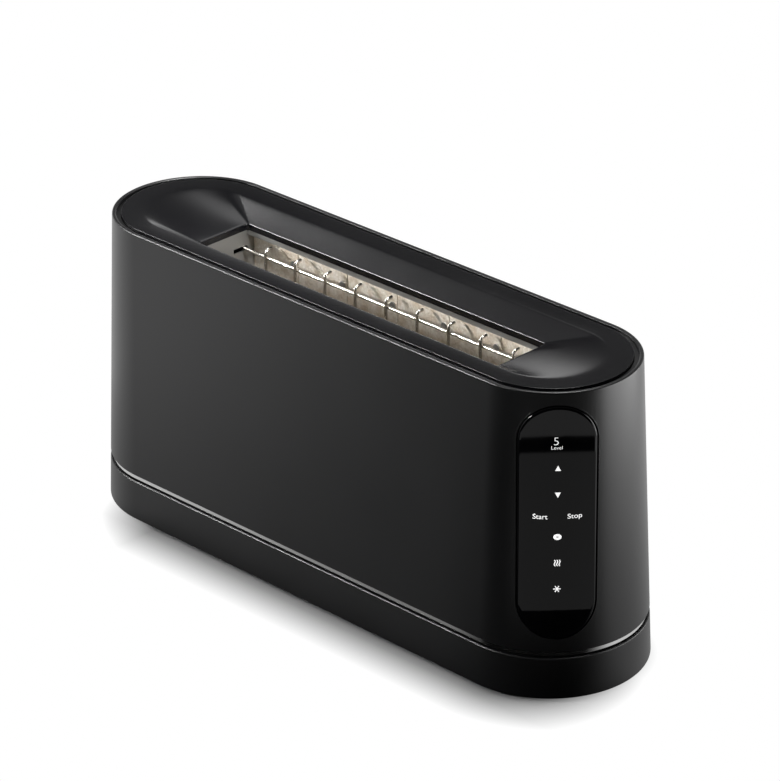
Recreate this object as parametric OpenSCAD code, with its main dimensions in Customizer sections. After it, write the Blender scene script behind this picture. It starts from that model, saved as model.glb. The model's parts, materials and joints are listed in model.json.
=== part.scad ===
// Long slot toaster with a motor-driven bread lift and a touch panel on its rounded corner.
// Millimetres, +Z up. The origin is on the floor, under the middle of the body.
// +X points to the end with the touch panel, -Y to the front.

/* [Body] */
// Distance between the centres of the two rounded ends
straight_l = 290; // [280:1:320]
// Radius of the rounded ends at the rim
rim_r = 52; // [50:0.5:58]
// Height from the lower edge of the base to the rim
body_h = 190; // [185:1:210]
// Draft angle of the body's sides
draft = 2.37; // [1.5:0.01:3]
// Wall thickness of the shell
shell_t = 2.5; // [2:0.1:3]
// Width of the flat rim round the cover
rim_w = 4.2; // [3.5:0.1:5]
// Thickness of the rim
rim_t = 2; // [1.5:0.1:2.5]
// Size of the small chamfers on outer edges
edge_ch = 0.6; // [0.3:0.1:1]
// Height of the chamfer along the shell's lower edge
hem_h = 0.6; // [0.4:0.1:1]
// Depth of the chamfer along the shell's lower edge
hem_in = 0.4; // [0.2:0.1:0.6]

/* [Base] */
// How far the feet stand out below the base
foot_drop = 2; // [1:0.5:4]
// Height of the base band
base_h = 26; // [24:1:30]
// Thickness of the base's floor
floor_t = 3.5; // [3:0.1:5]
// Wall thickness of the base
base_t = 2.5; // [2:0.1:3]
// Height of the shadow gap between base and shell
gap_h = 3.9; // [3:0.1:4.5]
// Depth of the shadow gap
gap_in = 1.2; // [1:0.1:1.4]
// Thickness of the bright ring in the shadow gap
ring_t = 0.6; // [0.5:0.1:0.7]
// Height of the collar that centres the shell
collar_h = 3; // [2:0.1:3]
// Diameter of a rubber foot
foot_d = 14; // [10:1:16]
// How deep a foot sits in the base
foot_sink = 1.5; // [1:0.1:2]
// Distance between a foot and the screw beside it, along the body
foot_gap = 7.7; // [6:0.1:9]
// Distance of the feet from the middle, across the body
foot_y = 40; // [36:1:42]

/* [Top cover] */
// Gap between rim and cover
cover_gap = 0.6; // [0.4:0.1:1]
// Thickness of the cover
cover_t = 2.4; // [2:0.1:3]
// Radius of the recess at its rounded ends
recess_r = 34.5; // [32:0.5:37]
// Length of the bread slot
slot_l = 245; // [225:1:255]
// Width of the bread slot
slot_w = 40; // [36:0.5:42]
// Depth of the slot's edge below the rim
slot_drop = 9; // [7:0.5:11]
// Height of the lip round the slot
lip_h = 4; // [3:0.5:5]
// Thickness of the lip
lip_t = 2.2; // [1.5:0.1:2.5]
// How softly the recess starts, as a share of its ramp
recess_soft = 0.16; // [0.05:0.01:0.3]
// How hollow the recess is at its ends
recess_bow = 0.3; // [0:0.05:0.5]

/* [Touch panel] */
// Direction of the panel, from the right end round to the front
panel_angle = 43; // [35:1:60]
// Width of the panel
panel_w = 46; // [40:0.5:50]
// Distance from the rim down to the panel
panel_drop = 7.5; // [7.5:0.5:10]
// Distance from the shell's lower edge up to the panel
panel_rise = 8.2; // [7:0.1:12]
// Gap round the panel
panel_gap = 0.4; // [0.2:0.05:0.8]
// Thickness of the carrier behind the panel
carrier_t = 3; // [2:0.1:4]
// How far the carrier reaches behind the shell
carrier_lap = 2.5; // [2:0.1:2.5]
// Distance of the touch board from the axis of the rounded end
board_r = 38; // [36:0.5:40]
// Width of the touch board
board_w = 34; // [30:1:36]
// Distance of the touch board's ends from the panel's ends
board_inset = 12; // [11:0.5:14]
// Thickness of the circuit boards
pcb_t = 1.6; // [1:0.1:2]
// Diameter of a touch pad
pad_d = 8; // [6:0.5:9]

/* [Toasting chamber] */
// Thickness of the steel sheet
sheet_t = 1; // [0.8:0.1:1.2]
// Air between the end plates and the shell's rim
side_air = 10; // [9:0.5:12]
// Height of the steel edge that shows under the lip
rail_h = 3; // [2:0.5:4]
// Width of the top rails
rail_w = 12; // [11.5:0.5:13]
// Distance of the mica boards behind the slot's edge
mica_back = 5; // [5:0.5:6]
// Thickness of the mica boards
mica_t = 0.8; // [0.5:0.1:1]
// Height of the mica boards
mica_h = 134; // [120:1:136]
// Air between mica board and reflector
reflector_air = 5; // [4:0.5:6]
// Spacing of the seams in the mica boards
seam_pitch = 42; // [38:1:46]
// Width of a seam
seam_w = 0.8; // [0.5:0.1:1]
// Width of the heating ribbon
ribbon_w = 2.5; // [1.5:0.5:3]
// Thickness of the heating ribbon
ribbon_t = 0.4; // [0.2:0.1:0.6]
// Spacing of the ribbon's rows
ribbon_pitch = 10; // [8:0.5:12]
// Number of the ribbon's rows
ribbon_n = 10; // [6:1:10]

/* [Bread guides] */
// Diameter of the upright wires
wire_d = 2; // [1.6:0.1:2.2]
// Diameter of the long bars
bar_d = 2.4; // [2.2:0.1:2.8]
// Distance of the upright wires from the slot's middle
wire_y = 15; // [14:0.5:15]
// Number of upright wires in a guide
hook_n = 9; // [5:2:9]
// Spacing of the upright wires
hook_pitch = 25.5; // [22:0.5:26]
// Radius of the bend at the top of a wire
hook_bend = 2.5; // [2.2:0.1:3]
// Straight end of a hook
hook_l = 2.5; // [1:0.5:3]
// Depth of the upper bar below the slot's edge
bar_drop = 15.5; // [15.5:0.5:18]
// Travel of a guide towards the bread
guide_travel = 7; // [5:0.5:7.5]

/* [Bread lift] */
// Travel of the bread rack down from rest
lift_down = 60; // [50:1:60]
// Travel of the bread rack up from rest
lift_up = 12; // [8:1:12]
// Height of the lowered bread rack above the floor
bread_low = 48.5; // [46:0.5:50]
// Width of the bread rack
bread_w = 11; // [9:0.5:11]
// Thickness of the bread rack
bread_t = 1.2; // [1:0.1:2]
// Diameter of the guide rods
rod_d = 5; // [4:0.5:5.5]
// Distance of the guide rods from the end plates
rod_off = 8; // [7.5:0.5:9]
// Running clearance, on the radius
run_gap = 0.08; // [0.03:0.01:0.1]
// Size of a slider along the body
slider_x = 12; // [11:0.5:13]
// Size of a slider across the body
slider_y = 16; // [14:0.5:16]
// Height of a slider
slider_h = 26; // [22:1:28]
// Gear module
gear_m = 1; // [0.9:0.05:1.1]
// Teeth of the pinion
gear_n = 16; // [14:2:20]
// Width of the gear teeth
gear_w = 8; // [6:0.5:10]
// Diameter of the pinion's shaft
shaft_d = 4; // [3:0.5:5]

/* [Crumb tray] */
// Width of the crumb tray
tray_w = 64; // [56:1:64]
// Height of the crumb tray
tray_h = 11.5; // [10:0.5:12]
// Sheet thickness of the crumb tray
tray_t = 0.8; // [0.6:0.1:1.2]
// Clearance round the crumb tray
tray_gap = 0.4; // [0.3:0.05:0.6]

/* [Mains inlet] */
// Bore of the cord gland
gland_d = 7.4; // [6:0.1:8]
// Outer diameter of the cord gland
gland_od = 12; // [11:0.5:13]
// Length of the cord gland
gland_l = 9; // [7:0.5:12]
// Width of the flange behind the wall
gland_lap = 1.5; // [1:0.5:2]
// Distance of the cord gland from the middle, towards the left end
gland_x = 112; // [90:1:120]

/* [Hidden] */
$fn = 96;
eps = 0.01;
fit = 0.3;
face_gap = 0.1;

// Heights of the body
top_z = foot_drop + body_h;
base_z = foot_drop + base_h;
shell_z = base_z + gap_h;
floor_z = foot_drop + floor_t;
slot_z = top_z - slot_drop;
lip_z = slot_z - lip_h;
frame_z = lip_z - face_gap;
half_l = straight_l / 2;

// Outer radius of the body's rounded ends at a height
function wall_r(z) = rim_r + (top_z - z) * tan(draft);

// Shadow gap
ring_r = wall_r(shell_z) - gap_in;
seat_r = ring_r - ring_t - face_gap;

// Cover
cover_r = rim_r - rim_w - cover_gap;
flange_r = rim_r - shell_t - fit;
flange_top = top_z - rim_t - face_gap;
flange_t = 2.4;
neck_r = cover_r - cover_t;
lip_reach = lip_t * norm([half_l - slot_l / 2, recess_r - slot_w / 2]) / (recess_r - slot_w / 2);
arc_n = 24;
ramp_steps = [0, 0.05, 0.1, 0.16, 0.25, 0.4, 0.6, 0.8, 1];
under_steps = [0.8, 0.6, 0.4, 0.25, 0.1, 0];

// Panel
panel_h = top_z - panel_drop - shell_z - panel_rise;
panel_z = top_z - panel_drop - panel_h / 2;
board_h = panel_h - 2 * board_inset;
post_d = 6;
post_y = board_w / 2 - post_d / 2;
post_z = board_h / 2 - post_d / 2;
screw_d = 2;
key_up = [34, 18, -8, -24, -41];
pair_up = 4.5;
pair_y = 9.5;
digit_up = 48;
digit_size = [6, 14, 20];

// Chamber
end_x = slot_l / 2 + fit;
end_out = end_x + sheet_t;
plate_w = 2 * (rim_r - side_air);
leg_y = tray_w / 2 + 2.5;
tab_l = 13;
tab_x = end_out + tab_l / 2;
tab_y = (leg_y + plate_w / 2) / 2;
mica_y = slot_w / 2 + mica_back;
mica_top = lip_z - 6;
mica_z = mica_top - mica_h;
seam_deep = mica_t / 2;
reflector_y = mica_y + mica_t + reflector_air;
reflector_z = floor_z + tray_h + 3;
ribbon_end = 6;
ribbon_top = mica_top - 24;
rivet_d = 4;
rivet_side = 4;
rivet_drop = 8;

// Guides
weld = 0.6;
bar_y = wire_y + (wire_d + bar_d) / 2 - weld;
bar_z = slot_z - bar_drop;
hook_z = bar_z + 3;
low_bar_z = floor_z + 44;
bar_out = rod_off - slider_x / 2 - 2 * fit;
guide_ratio = guide_travel / lift_down;
bar_slot_lo = bar_y - guide_travel - bar_d / 2 - fit;
bar_slot_hi = bar_y + guide_ratio * lift_up + bar_d / 2 + fit;

// Lift
bread_z = floor_z + bread_low + lift_down;
rack_l = slot_l - 9;
tongue_w = 9;
rod_x = end_out + rod_off;
slider_in = rod_x - slider_x / 2;
slider_out = rod_x + slider_x / 2;
slider_z = bread_z - slider_h / 2 - 1;
shelf_l = rod_off + rod_d / 2 + 2;
shelf_w = slider_y;
shelf_top = bread_z + lift_up + slider_h / 2 + 18;
shelf_low = floor_z + tray_h + 10;
rod_over = 3;

// Rack and pinion
pitch_r = gear_m * gear_n / 2;
tooth_t = 1.25 * gear_m;
tooth_out = 0.95 * gear_m;
tooth_in = 1.25 * gear_m;
tooth_step = PI * gear_m;
flank = tan(20);
rack_back = 4;
rack_root = slider_out + rack_back;
rack_over = 8;
pinion_x = rack_root + tooth_in + pitch_r;
pinion_z = floor_z + lift_down + lift_up + rack_over + 9.5;
rack_lo = pinion_z - lift_up - rack_over;
rack_hi = pinion_z + lift_down + rack_over;
teeth_below = floor((pinion_z - rack_lo) / tooth_step - 0.5);
teeth_above = floor((rack_hi - pinion_z) / tooth_step - 0.5);

// Motor
bracket_t = 1.2;
bracket_y = slider_y / 2 + 1;
bracket_h = 34;
box_x = 23;
box_y = 18;
box_h = 36;
motor_d = 22;
motor_l = 16;
shaft_in = 12;

// Tray
tray_z = floor_z + fit;
tray_end = end_x - 5;
front_back = half_l + sqrt(pow(wall_r(base_z) - base_t - 1, 2) - pow(tray_w / 2, 2)) - 5;

// Floor
vent_l = 14;
vent_w = 3;
vent_n = 8;
vent_pitch = 14;
vent_y = (tray_w / 2 + wall_r(floor_z) - base_t) / 2;
mouth_top = tray_z + tray_h + tray_gap;
head_d = 6;
head_h = 2;
thread_d = 3;
thread_gap = 0.1;
foot_x = tab_x + (foot_d + head_d) / 2 + foot_gap;

// Supply
supply_x = half_l + 12;
supply_w = 66;
supply_h = 84;
supply_z = floor_z + tray_h + 12;
relay_size = [16, 20, 28];
relay_at = [-16, 12];
coil_size = [20, 26, 24];
coil_at = [12, 12];
can_d = 10;
can_h = 14;
can_pitch = 18;
can_up = 60;
gland_z = floor_z + 9.5;

// Sweeps a profile, drawn as radius and height, round the long plan of the body
module round_sweep() {
    for (turn = [0, 180])
        rotate(turn) {
            translate([half_l, 0, 0])
                rotate(-90)
                    rotate_extrude(angle = 180)
                        children();
            rotate([90, 0, 90])
                linear_extrude(straight_l, center = true)
                    children();
        }
}

// Places children on the panel's direction: local X points out of the body, Z stays up
module at_panel() {
    translate([half_l, 0, 0])
        rotate(-panel_angle)
            children();
}

// Pill-shaped prism along local X, grown by a margin on all sides
module pill(grow) {
    r = panel_w / 2 + grow;
    straight = panel_h - panel_w;
    depth = wall_r(0) + 20;
    translate([0, 0, panel_z])
        rotate([90, 0, 90]) {
            translate([-r, -straight / 2, 0])
                cube([2 * r, straight, depth]);
            for (turn = [0, 180])
                rotate(turn)
                    translate([0, straight / 2, 0])
                        rotate_extrude(angle = 180)
                            square([r, depth]);
        }
}

// Layer of the right-hand end between two depths under the outer wall, cut to a pill
module panel_layer(from, to, grow) {
    low = panel_z - panel_h / 2 - grow - 1;
    high = panel_z + panel_h / 2 + grow + 1;
    intersection() {
        rotate(-90)
            rotate_extrude(angle = 180)
                polygon([
                    [wall_r(low) - to, low],
                    [wall_r(low) - from, low],
                    [wall_r(high) - from, high],
                    [wall_r(high) - to, high]
                ]);
        pill(grow);
    }
}

// Repeats children at the four corners of a rectangle
module corners(x, y) {
    for (sx = [-1, 1])
        for (sy = [-1, 1])
            translate([sx * x, sy * y, 0])
                children();
}

module body_shell() {
    color("#26272a")
        difference() {
            round_sweep()
                polygon([
                    [wall_r(shell_z) - shell_t, shell_z],
                    [wall_r(shell_z) - hem_in, shell_z],
                    [wall_r(shell_z + hem_h), shell_z + hem_h],
                    [wall_r(top_z - edge_ch), top_z - edge_ch],
                    [rim_r - edge_ch, top_z],
                    [rim_r - rim_w, top_z],
                    [rim_r - rim_w, top_z - rim_t],
                    [wall_r(top_z - rim_t) - shell_t, top_z - rim_t]
                ]);
            at_panel()
                pill(0);
        }
}

module top_cover() {
    color("#1d1e20")
        round_sweep()
            polygon([
                [flange_r, flange_top - flange_t],
                [flange_r, flange_top],
                [cover_r, flange_top],
                [cover_r, top_z - edge_ch],
                [cover_r - edge_ch, top_z],
                [recess_r, top_z],
                [recess_r, top_z - cover_t],
                [neck_r, top_z - cover_t],
                [neck_r, flange_top - flange_t]
            ]);
}

// Points of the recess's upper edge, anticlockwise from the front of the right end
recess_plan = [
    for (end = [0, 180])
        for (i = [0 : arc_n])
            let (a = end - 90 + 180 * i / arc_n)
                [(end == 0 ? half_l : -half_l) + recess_r * cos(a), recess_r * sin(a)]
];

// The same number of points on the slot's outline
slot_plan = [
    for (side = [1, -1])
        for (i = [0 : arc_n])
            [side * slot_l / 2, side * (2 * i / arc_n - 1) * slot_w / 2]
];

// Outer edge of the lip under the slot, towards the recess's edge
lip_plan = [
    for (k = [0 : len(slot_plan) - 1])
        let (out = recess_plan[k] - slot_plan[k])
            slot_plan[k] + lip_reach * out / norm(out)
];

// A ring of points lifted to one height
function level(points, z) = [for (p = points) [p[0], p[1], z]];

// Share of the drop reached on the way from the ring to the slot, starting level
function ramp(t) = (sqrt(t * t + recess_soft * recess_soft) - recess_soft)
    / (sqrt(1 + recess_soft * recess_soft) - recess_soft);

// A ring of the funnel, hollower at the rounded ends than along the sides
function funnel_ring(t, under) = [
    for (k = [0 : len(recess_plan) - 1])
        let (
            a = recess_plan[k],
            b = slot_plan[k],
            end = max(0, (abs(a[0]) - half_l) / recess_r),
            drop = slot_drop * pow(ramp(t), 1 - recess_bow * end)
        )
            [a[0] + t * (b[0] - a[0]), a[1] + t * (b[1] - a[1]), top_z - drop - under]
];

// Rounded end of the funnel between the cover's ring and the slot, with its part of the lip
module dish(keys) {
    rings = concat(
        [for (t = ramp_steps) funnel_ring(t, 0)],
        [level(slot_plan, lip_z), level(lip_plan, lip_z)],
        [for (t = under_steps) funnel_ring(t, cover_t)]
    );
    count = len(rings);
    width = len(keys);
    color("#1d1e20")
        polyhedron(
            points = [for (ring = rings) for (k = keys) ring[k]],
            faces = concat(
                [
                    for (j = [0 : count - 1])
                        for (i = [0 : width - 2])
                            let (a = j * width + i, d = ((j + 1) % count) * width + i)
                                each [[a, d + 1, a + 1], [a, d, d + 1]]
                ],
                [
                    [for (j = [count - 1 : -1 : 0]) j * width],
                    [for (j = [0 : count - 1]) j * width + width - 1]
                ]
            )
        );
}

// Half length of a straight wall of the funnel at a distance from the middle, up to its mitres
function mitre(y) = slot_l / 2
    + (y - slot_w / 2) * (half_l - slot_l / 2) / (recess_r - slot_w / 2);

// Point of the straight walls' section
function ramp_point(t, under) = [
    recess_r + t * (slot_w / 2 - recess_r),
    top_z - slot_drop * ramp(t) - under
];

// Straight wall of the funnel along the rear of the slot, with its part of the lip
module side_ramp() {
    near = slot_w / 2 - 1;
    far = recess_r + 1;
    color("#1d1e20")
        intersection() {
            rotate([90, 0, 90])
                linear_extrude(2 * mitre(far), center = true)
                    polygon(concat(
                        [for (t = ramp_steps) ramp_point(t, 0)],
                        [[slot_w / 2, lip_z], [slot_w / 2 + lip_t, lip_z]],
                        [for (t = under_steps) ramp_point(t, cover_t)]
                    ));
            translate([0, 0, lip_z - 1])
                linear_extrude(top_z - lip_z + 2)
                    polygon([
                        [-mitre(near), near], [mitre(near), near],
                        [mitre(far), far], [-mitre(far), far]
                    ]);
        }
}

module front_ramp() {
    mirror([0, 1, 0])
        side_ramp();
}

module rear_ramp() {
    side_ramp();
}

module left_dish() {
    dish([for (k = [arc_n + 1 : 2 * arc_n + 1]) k]);
}

module right_dish() {
    dish([for (k = [0 : arc_n]) k]);
}

// Corner positions of the base screws
module at_screws() {
    corners(tab_x, tab_y)
        children();
}

module base() {
    collar_r = wall_r(shell_z + collar_h) - shell_t - fit;
    inner_r = collar_r - base_t;
    shelf_z = base_z - base_t;
    slope_h = wall_r(shelf_z) - base_t - inner_r;
    color("#1b1c1e")
        difference() {
            round_sweep()
                polygon([
                    [0, foot_drop],
                    [wall_r(foot_drop) - 2 * edge_ch, foot_drop],
                    [wall_r(foot_drop + 2 * edge_ch), foot_drop + 2 * edge_ch],
                    [wall_r(base_z - edge_ch), base_z - edge_ch],
                    [wall_r(base_z) - edge_ch, base_z],
                    [seat_r, base_z],
                    [seat_r, shell_z],
                    [collar_r, shell_z],
                    [collar_r, shell_z + collar_h],
                    [inner_r, shell_z + collar_h],
                    [inner_r, shelf_z],
                    [wall_r(shelf_z) - base_t, shelf_z - slope_h],
                    [wall_r(floor_z) - base_t, floor_z],
                    [0, floor_z]
                ]);
            // Mouth of the crumb tray in the left end
            translate([-half_l - wall_r(0) - 1, -tray_w / 2 - tray_gap, floor_z])
                cube([wall_r(0), tray_w + 2 * tray_gap, mouth_top - floor_z]);
            // Pockets of the feet
            corners(foot_x, foot_y)
                translate([0, 0, foot_drop - 1])
                    cylinder(d = foot_d + 2 * fit, h = foot_sink + 1);
            // Screw holes and the room for their heads
            at_screws() {
                translate([0, 0, foot_drop - 1])
                    cylinder(d = head_d + 2 * fit, h = head_h + 1);
                translate([0, 0, foot_drop])
                    cylinder(d = thread_d + 2 * thread_gap, h = floor_t + 1);
            }
            // Air slots beside the tray
            for (sy = [-1, 1])
                for (i = [0 : vent_n - 1])
                    translate([(i - (vent_n - 1) / 2) * vent_pitch, sy * vent_y, floor_z - floor_t / 2])
                        cube([vent_w, vent_l, floor_t + 2], center = true);
            // Seat of the cord gland
            at_gland()
                translate([0, 0, -gland_l])
                    cylinder(d = gland_od + 2 * face_gap, h = gland_l + 10);
        }
}

module groove_ring() {
    color("#c9cbcd")
        round_sweep()
            polygon([
                [ring_r - ring_t, base_z],
                [ring_r, base_z],
                [ring_r, shell_z],
                [ring_r - ring_t, shell_z]
            ]);
}

module feet() {
    color("#101011")
        corners(foot_x, foot_y) {
            translate([0, 0, edge_ch])
                cylinder(d = foot_d, h = foot_drop + foot_sink - edge_ch);
            cylinder(d1 = foot_d - 2 * edge_ch, d2 = foot_d, h = edge_ch);
        }
}

module base_screws() {
    color("#b8babc")
        at_screws() {
            translate([0, 0, foot_drop + fit])
                cylinder(d = head_d, h = head_h - fit);
            translate([0, 0, foot_drop + head_h - eps])
                cylinder(d = thread_d, h = floor_t - head_h + sheet_t + 3);
        }
}

// Puts the outer end of the gland on the rear wall of the base, local Z pointing out
module at_gland() {
    translate([-gland_x, wall_r(gland_z + gland_od / 2) - fit, gland_z])
        rotate([-90, 0, 0])
            children();
}

module cord_gland() {
    color("#141415")
        at_gland()
            difference() {
                union() {
                    translate([0, 0, -gland_l])
                        cylinder(d = gland_od, h = gland_l);
                    translate([0, 0, -gland_l])
                        cylinder(d = gland_od + 2 * gland_lap, h = gland_l - base_t - 2 * fit);
                }
                translate([0, 0, -gland_l - 1])
                    cylinder(d = gland_d, h = gland_l + 2);
            }
}

module touch_panel() {
    color("#0b0b0d")
        at_panel()
            panel_layer(0, shell_t, -panel_gap);
}

module at_posts() {
    for (sy = [-1, 1])
        for (sz = [-1, 1])
            translate([board_r, sy * post_y, panel_z + sz * post_z])
                rotate([0, 90, 0])
                    children();
}

module panel_carrier() {
    inner = shell_t + face_gap + carrier_t;
    color("#17181a")
        at_panel()
            difference() {
                union() {
                    panel_layer(shell_t + face_gap, inner, carrier_lap);
                    intersection() {
                        at_posts()
                            translate([0, 0, pcb_t])
                                cylinder(d = post_d, h = 20);
                        panel_layer(inner - 1, wall_r(0) - board_r + 10, carrier_lap);
                    }
                }
                at_posts()
                    translate([0, 0, pcb_t - 1])
                        cylinder(d = screw_d + 2 * thread_gap, h = 6);
            }
}

module touch_board() {
    color("#1f5a38")
        at_panel()
            difference() {
                translate([board_r, -board_w / 2, panel_z - board_h / 2])
                    cube([pcb_t, board_w, board_h]);
                at_posts()
                    translate([0, 0, -1])
                        cylinder(d = screw_d + 2 * thread_gap, h = pcb_t + 2);
            }
}

module display_module() {
    color("#e8e8e6")
        at_panel()
            translate([board_r + pcb_t, -digit_size[1] / 2, panel_z + digit_up - digit_size[2] / 2])
                cube(digit_size);
}

module touch_pads() {
    spots = concat([for (up = key_up) [0, up]], [[-pair_y, pair_up], [pair_y, pair_up]]);
    inner = shell_t + 2 * face_gap + carrier_t;
    color("#2c2c2e")
        at_panel()
            intersection() {
                for (spot = spots)
                    translate([board_r + pcb_t, spot[0], panel_z + spot[1]])
                        rotate([0, 90, 0])
                            cylinder(d = pad_d, h = 20);
                panel_layer(inner, wall_r(0) - board_r + 10, carrier_lap);
            }
}

module board_screws() {
    color("#b8babc")
        at_panel()
            at_posts() {
                translate([0, 0, -1.4])
                    cylinder(d = screw_d + 2, h = 1.4);
                translate([0, 0, -eps])
                    cylinder(d = screw_d, h = pcb_t + 4);
            }
}

// Steel end wall of the chamber at the right end, with shelves for the guide rod
module end_plate(tunnel) {
    slot_low = bread_z - lift_down - 6;
    slot_high = bread_z + lift_up + 6;
    difference() {
        union() {
            translate([end_x, -plate_w / 2, floor_z])
                cube([sheet_t, plate_w, frame_z - floor_z]);
            for (z = [shelf_low, shelf_top])
                translate([end_x, -shelf_w / 2, z])
                    cube([sheet_t + shelf_l, shelf_w, sheet_t]);
            for (sy = [-1, 1])
                translate([end_x, sy * tab_y - (plate_w / 2 - leg_y) / 2, floor_z])
                    cube([sheet_t + tab_l, plate_w / 2 - leg_y, sheet_t]);
        }
        // Tunnel over the crumb tray
        if (tunnel)
            translate([end_x - 1, -leg_y, floor_z - 1])
                cube([sheet_t + 2, 2 * leg_y, tray_h + 3]);
        // Slot of the bread rack's tongue
        translate([end_x - 1, -tongue_w / 2 - fit, slot_low])
            cube([sheet_t + 2, tongue_w + 2 * fit, slot_high - slot_low]);
        // Slots that the bars of the bread guides slide in
        for (sy = [-1, 1])
            for (z = [low_bar_z, bar_z])
                translate([end_x - 1, sy > 0 ? bar_slot_lo : -bar_slot_hi, z - bar_d / 2 - fit])
                    cube([sheet_t + 2, bar_slot_hi - bar_slot_lo, bar_d + 2 * fit]);
        // Holes of the guide rod
        translate([rod_x, 0, shelf_low - 1])
            cylinder(d = rod_d + 2 * run_gap, h = shelf_top - shelf_low + sheet_t + 2);
        for (sy = [-1, 1])
            translate([tab_x, sy * tab_y, floor_z - 1])
                cylinder(d = thread_d + 2 * thread_gap, h = sheet_t + 2);
    }
}

module left_end_plate() {
    color("#c9cbcd")
        mirror([1, 0, 0])
            end_plate(true);
}

module right_end_plate() {
    color("#c9cbcd")
        end_plate(false);
}

// Steel angle along the rear edge of the slot
module top_rail() {
    length = 2 * (end_x - face_gap);
    translate([-length / 2, slot_w / 2, frame_z - sheet_t])
        cube([length, rail_w, sheet_t]);
    translate([-length / 2, slot_w / 2, frame_z - rail_h])
        cube([length, sheet_t, rail_h]);
}

module front_top_rail() {
    color("#c9cbcd")
        mirror([0, 1, 0])
            top_rail();
}

module rear_top_rail() {
    color("#c9cbcd")
        top_rail();
}

module reflector() {
    length = 2 * (end_x - face_gap);
    top = frame_z - sheet_t - face_gap;
    translate([-length / 2, reflector_y, reflector_z])
        cube([length, sheet_t, top - reflector_z]);
}

module front_reflector() {
    color("#d6d8da")
        mirror([0, 1, 0])
            reflector();
}

module rear_reflector() {
    color("#d6d8da")
        reflector();
}

module at_rivets() {
    for (i = [-2 : 2])
        translate([i * seam_pitch - rivet_side, mica_y, mica_top - rivet_drop])
            rotate([-90, 0, 0])
                children();
}

// Mica board behind the rear guide, with seams on its inner face
module mica() {
    length = 2 * (end_x - face_gap);
    difference() {
        translate([-length / 2, mica_y, mica_z])
            cube([length, mica_t, mica_h]);
        for (i = [-2 : 2])
            translate([i * seam_pitch - seam_w / 2, mica_y - 1, mica_z - 1])
                cube([seam_w, seam_deep + 1, mica_h + 2]);
        at_rivets()
            translate([0, 0, -1])
                cylinder(d = rivet_d / 2 + 2 * thread_gap, h = mica_t + 2);
    }
}

module front_mica() {
    color("#c9b48c")
        mirror([0, 1, 0])
            mica();
}

module rear_mica() {
    color("#c9b48c")
        mica();
}

// One flat ribbon that runs to and fro over the mica board
module element() {
    row_l = slot_l - 2 * ribbon_end;
    translate([0, mica_y, 0])
        rotate([90, 0, 0])
            linear_extrude(ribbon_t)
                for (i = [0 : ribbon_n - 1]) {
                    z = ribbon_top - i * ribbon_pitch;
                    side = i % 2 == 0 ? 1 : -1;
                    translate([-row_l / 2, z - ribbon_w])
                        square([row_l, ribbon_w]);
                    if (i < ribbon_n - 1)
                        translate([side * (row_l - ribbon_w) / 2 - ribbon_w / 2, z - ribbon_pitch - ribbon_w])
                            square([ribbon_w, ribbon_pitch + ribbon_w]);
                }
}

module front_element() {
    color("#8d8a86")
        mirror([0, 1, 0])
            element();
}

module rear_element() {
    color("#8d8a86")
        element();
}

module mica_rivets() {
    color("#a9a7a2")
        for (sy = [0, 1])
            mirror([0, sy, 0])
                at_rivets() {
                    translate([0, 0, -0.8])
                        cylinder(d = rivet_d, h = 0.8);
                    translate([0, 0, -eps])
                        cylinder(d = rivet_d / 2, h = mica_t + 0.8);
                }
}

module thermal_fuse() {
    clip = [30, 2, 9];
    fuse_d = 5;
    z = panel_z;
    color("#d9cfae")
        translate([0, reflector_y + sheet_t, z]) {
            translate([-clip[0] / 2, 0, -clip[2] / 2])
                cube(clip);
            translate([-clip[0] / 2 - 4, clip[1] + fuse_d / 4, 0])
                rotate([0, 90, 0])
                    cylinder(d = fuse_d, h = clip[0] + 8);
        }
}

module guide_rods() {
    low = shelf_low - rod_over;
    color("#dcdedf")
        for (sx = [-1, 1])
            translate([sx * rod_x, 0, low])
                cylinder(d = rod_d, h = shelf_top + sheet_t + rod_over - low);
}

module bread_rack() {
    windows = 12;
    pitch = rack_l / windows;
    rib_h = 6;
    color("#c4c6c8") {
        difference() {
            translate([-rack_l / 2, -bread_w / 2, bread_z - bread_t])
                cube([rack_l, bread_w, bread_t]);
            for (i = [0 : windows - 1])
                for (sy = [-1, 1])
                    translate([(i - (windows - 1) / 2) * pitch, sy * bread_w / 4, bread_z])
                        cube([pitch - 4, bread_w / 2 - 3, 3 * bread_t], center = true);
        }
        translate([-rack_l / 2, -bread_t / 2, bread_z - rib_h])
            cube([rack_l, bread_t, rib_h - eps]);
        for (sx = [-1, 1])
            translate([sx > 0 ? rack_l / 2 - 4 : -slider_in, -tongue_w / 2, bread_z - bread_t])
                cube([slider_in - rack_l / 2 + 4, tongue_w, bread_t]);
    }
}

// Block that runs on the right guide rod
module slider() {
    difference() {
        translate([slider_in, -slider_y / 2, slider_z])
            cube([slider_x, slider_y, slider_h]);
        translate([rod_x, 0, slider_z - 1])
            cylinder(d = rod_d + 2 * run_gap, h = slider_h + 2);
    }
}

module left_slider() {
    color("#e3ddcc")
        mirror([1, 0, 0])
            slider();
}

module right_slider() {
    color("#e3ddcc")
        slider();
}

module gear_rack() {
    tip = tooth_t / 2 - tooth_out * flank;
    root = tooth_t / 2 + tooth_in * flank;
    reach = rack_root + tooth_in + tooth_out;
    color("#e3ddcc")
        translate([0, gear_w / 2, 0])
            rotate([90, 0, 0])
                linear_extrude(gear_w)
                    polygon([
                        [slider_out, rack_lo],
                        [rack_root, rack_lo],
                        for (k = [-teeth_below : teeth_above - 1])
                            let (z = pinion_z + (k + 0.5) * tooth_step)
                                each [
                                    [rack_root, z - root], [reach, z - tip],
                                    [reach, z + tip], [rack_root, z + root]
                                ],
                        [rack_root, rack_hi],
                        [slider_out, rack_hi]
                    ]);
}

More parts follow.
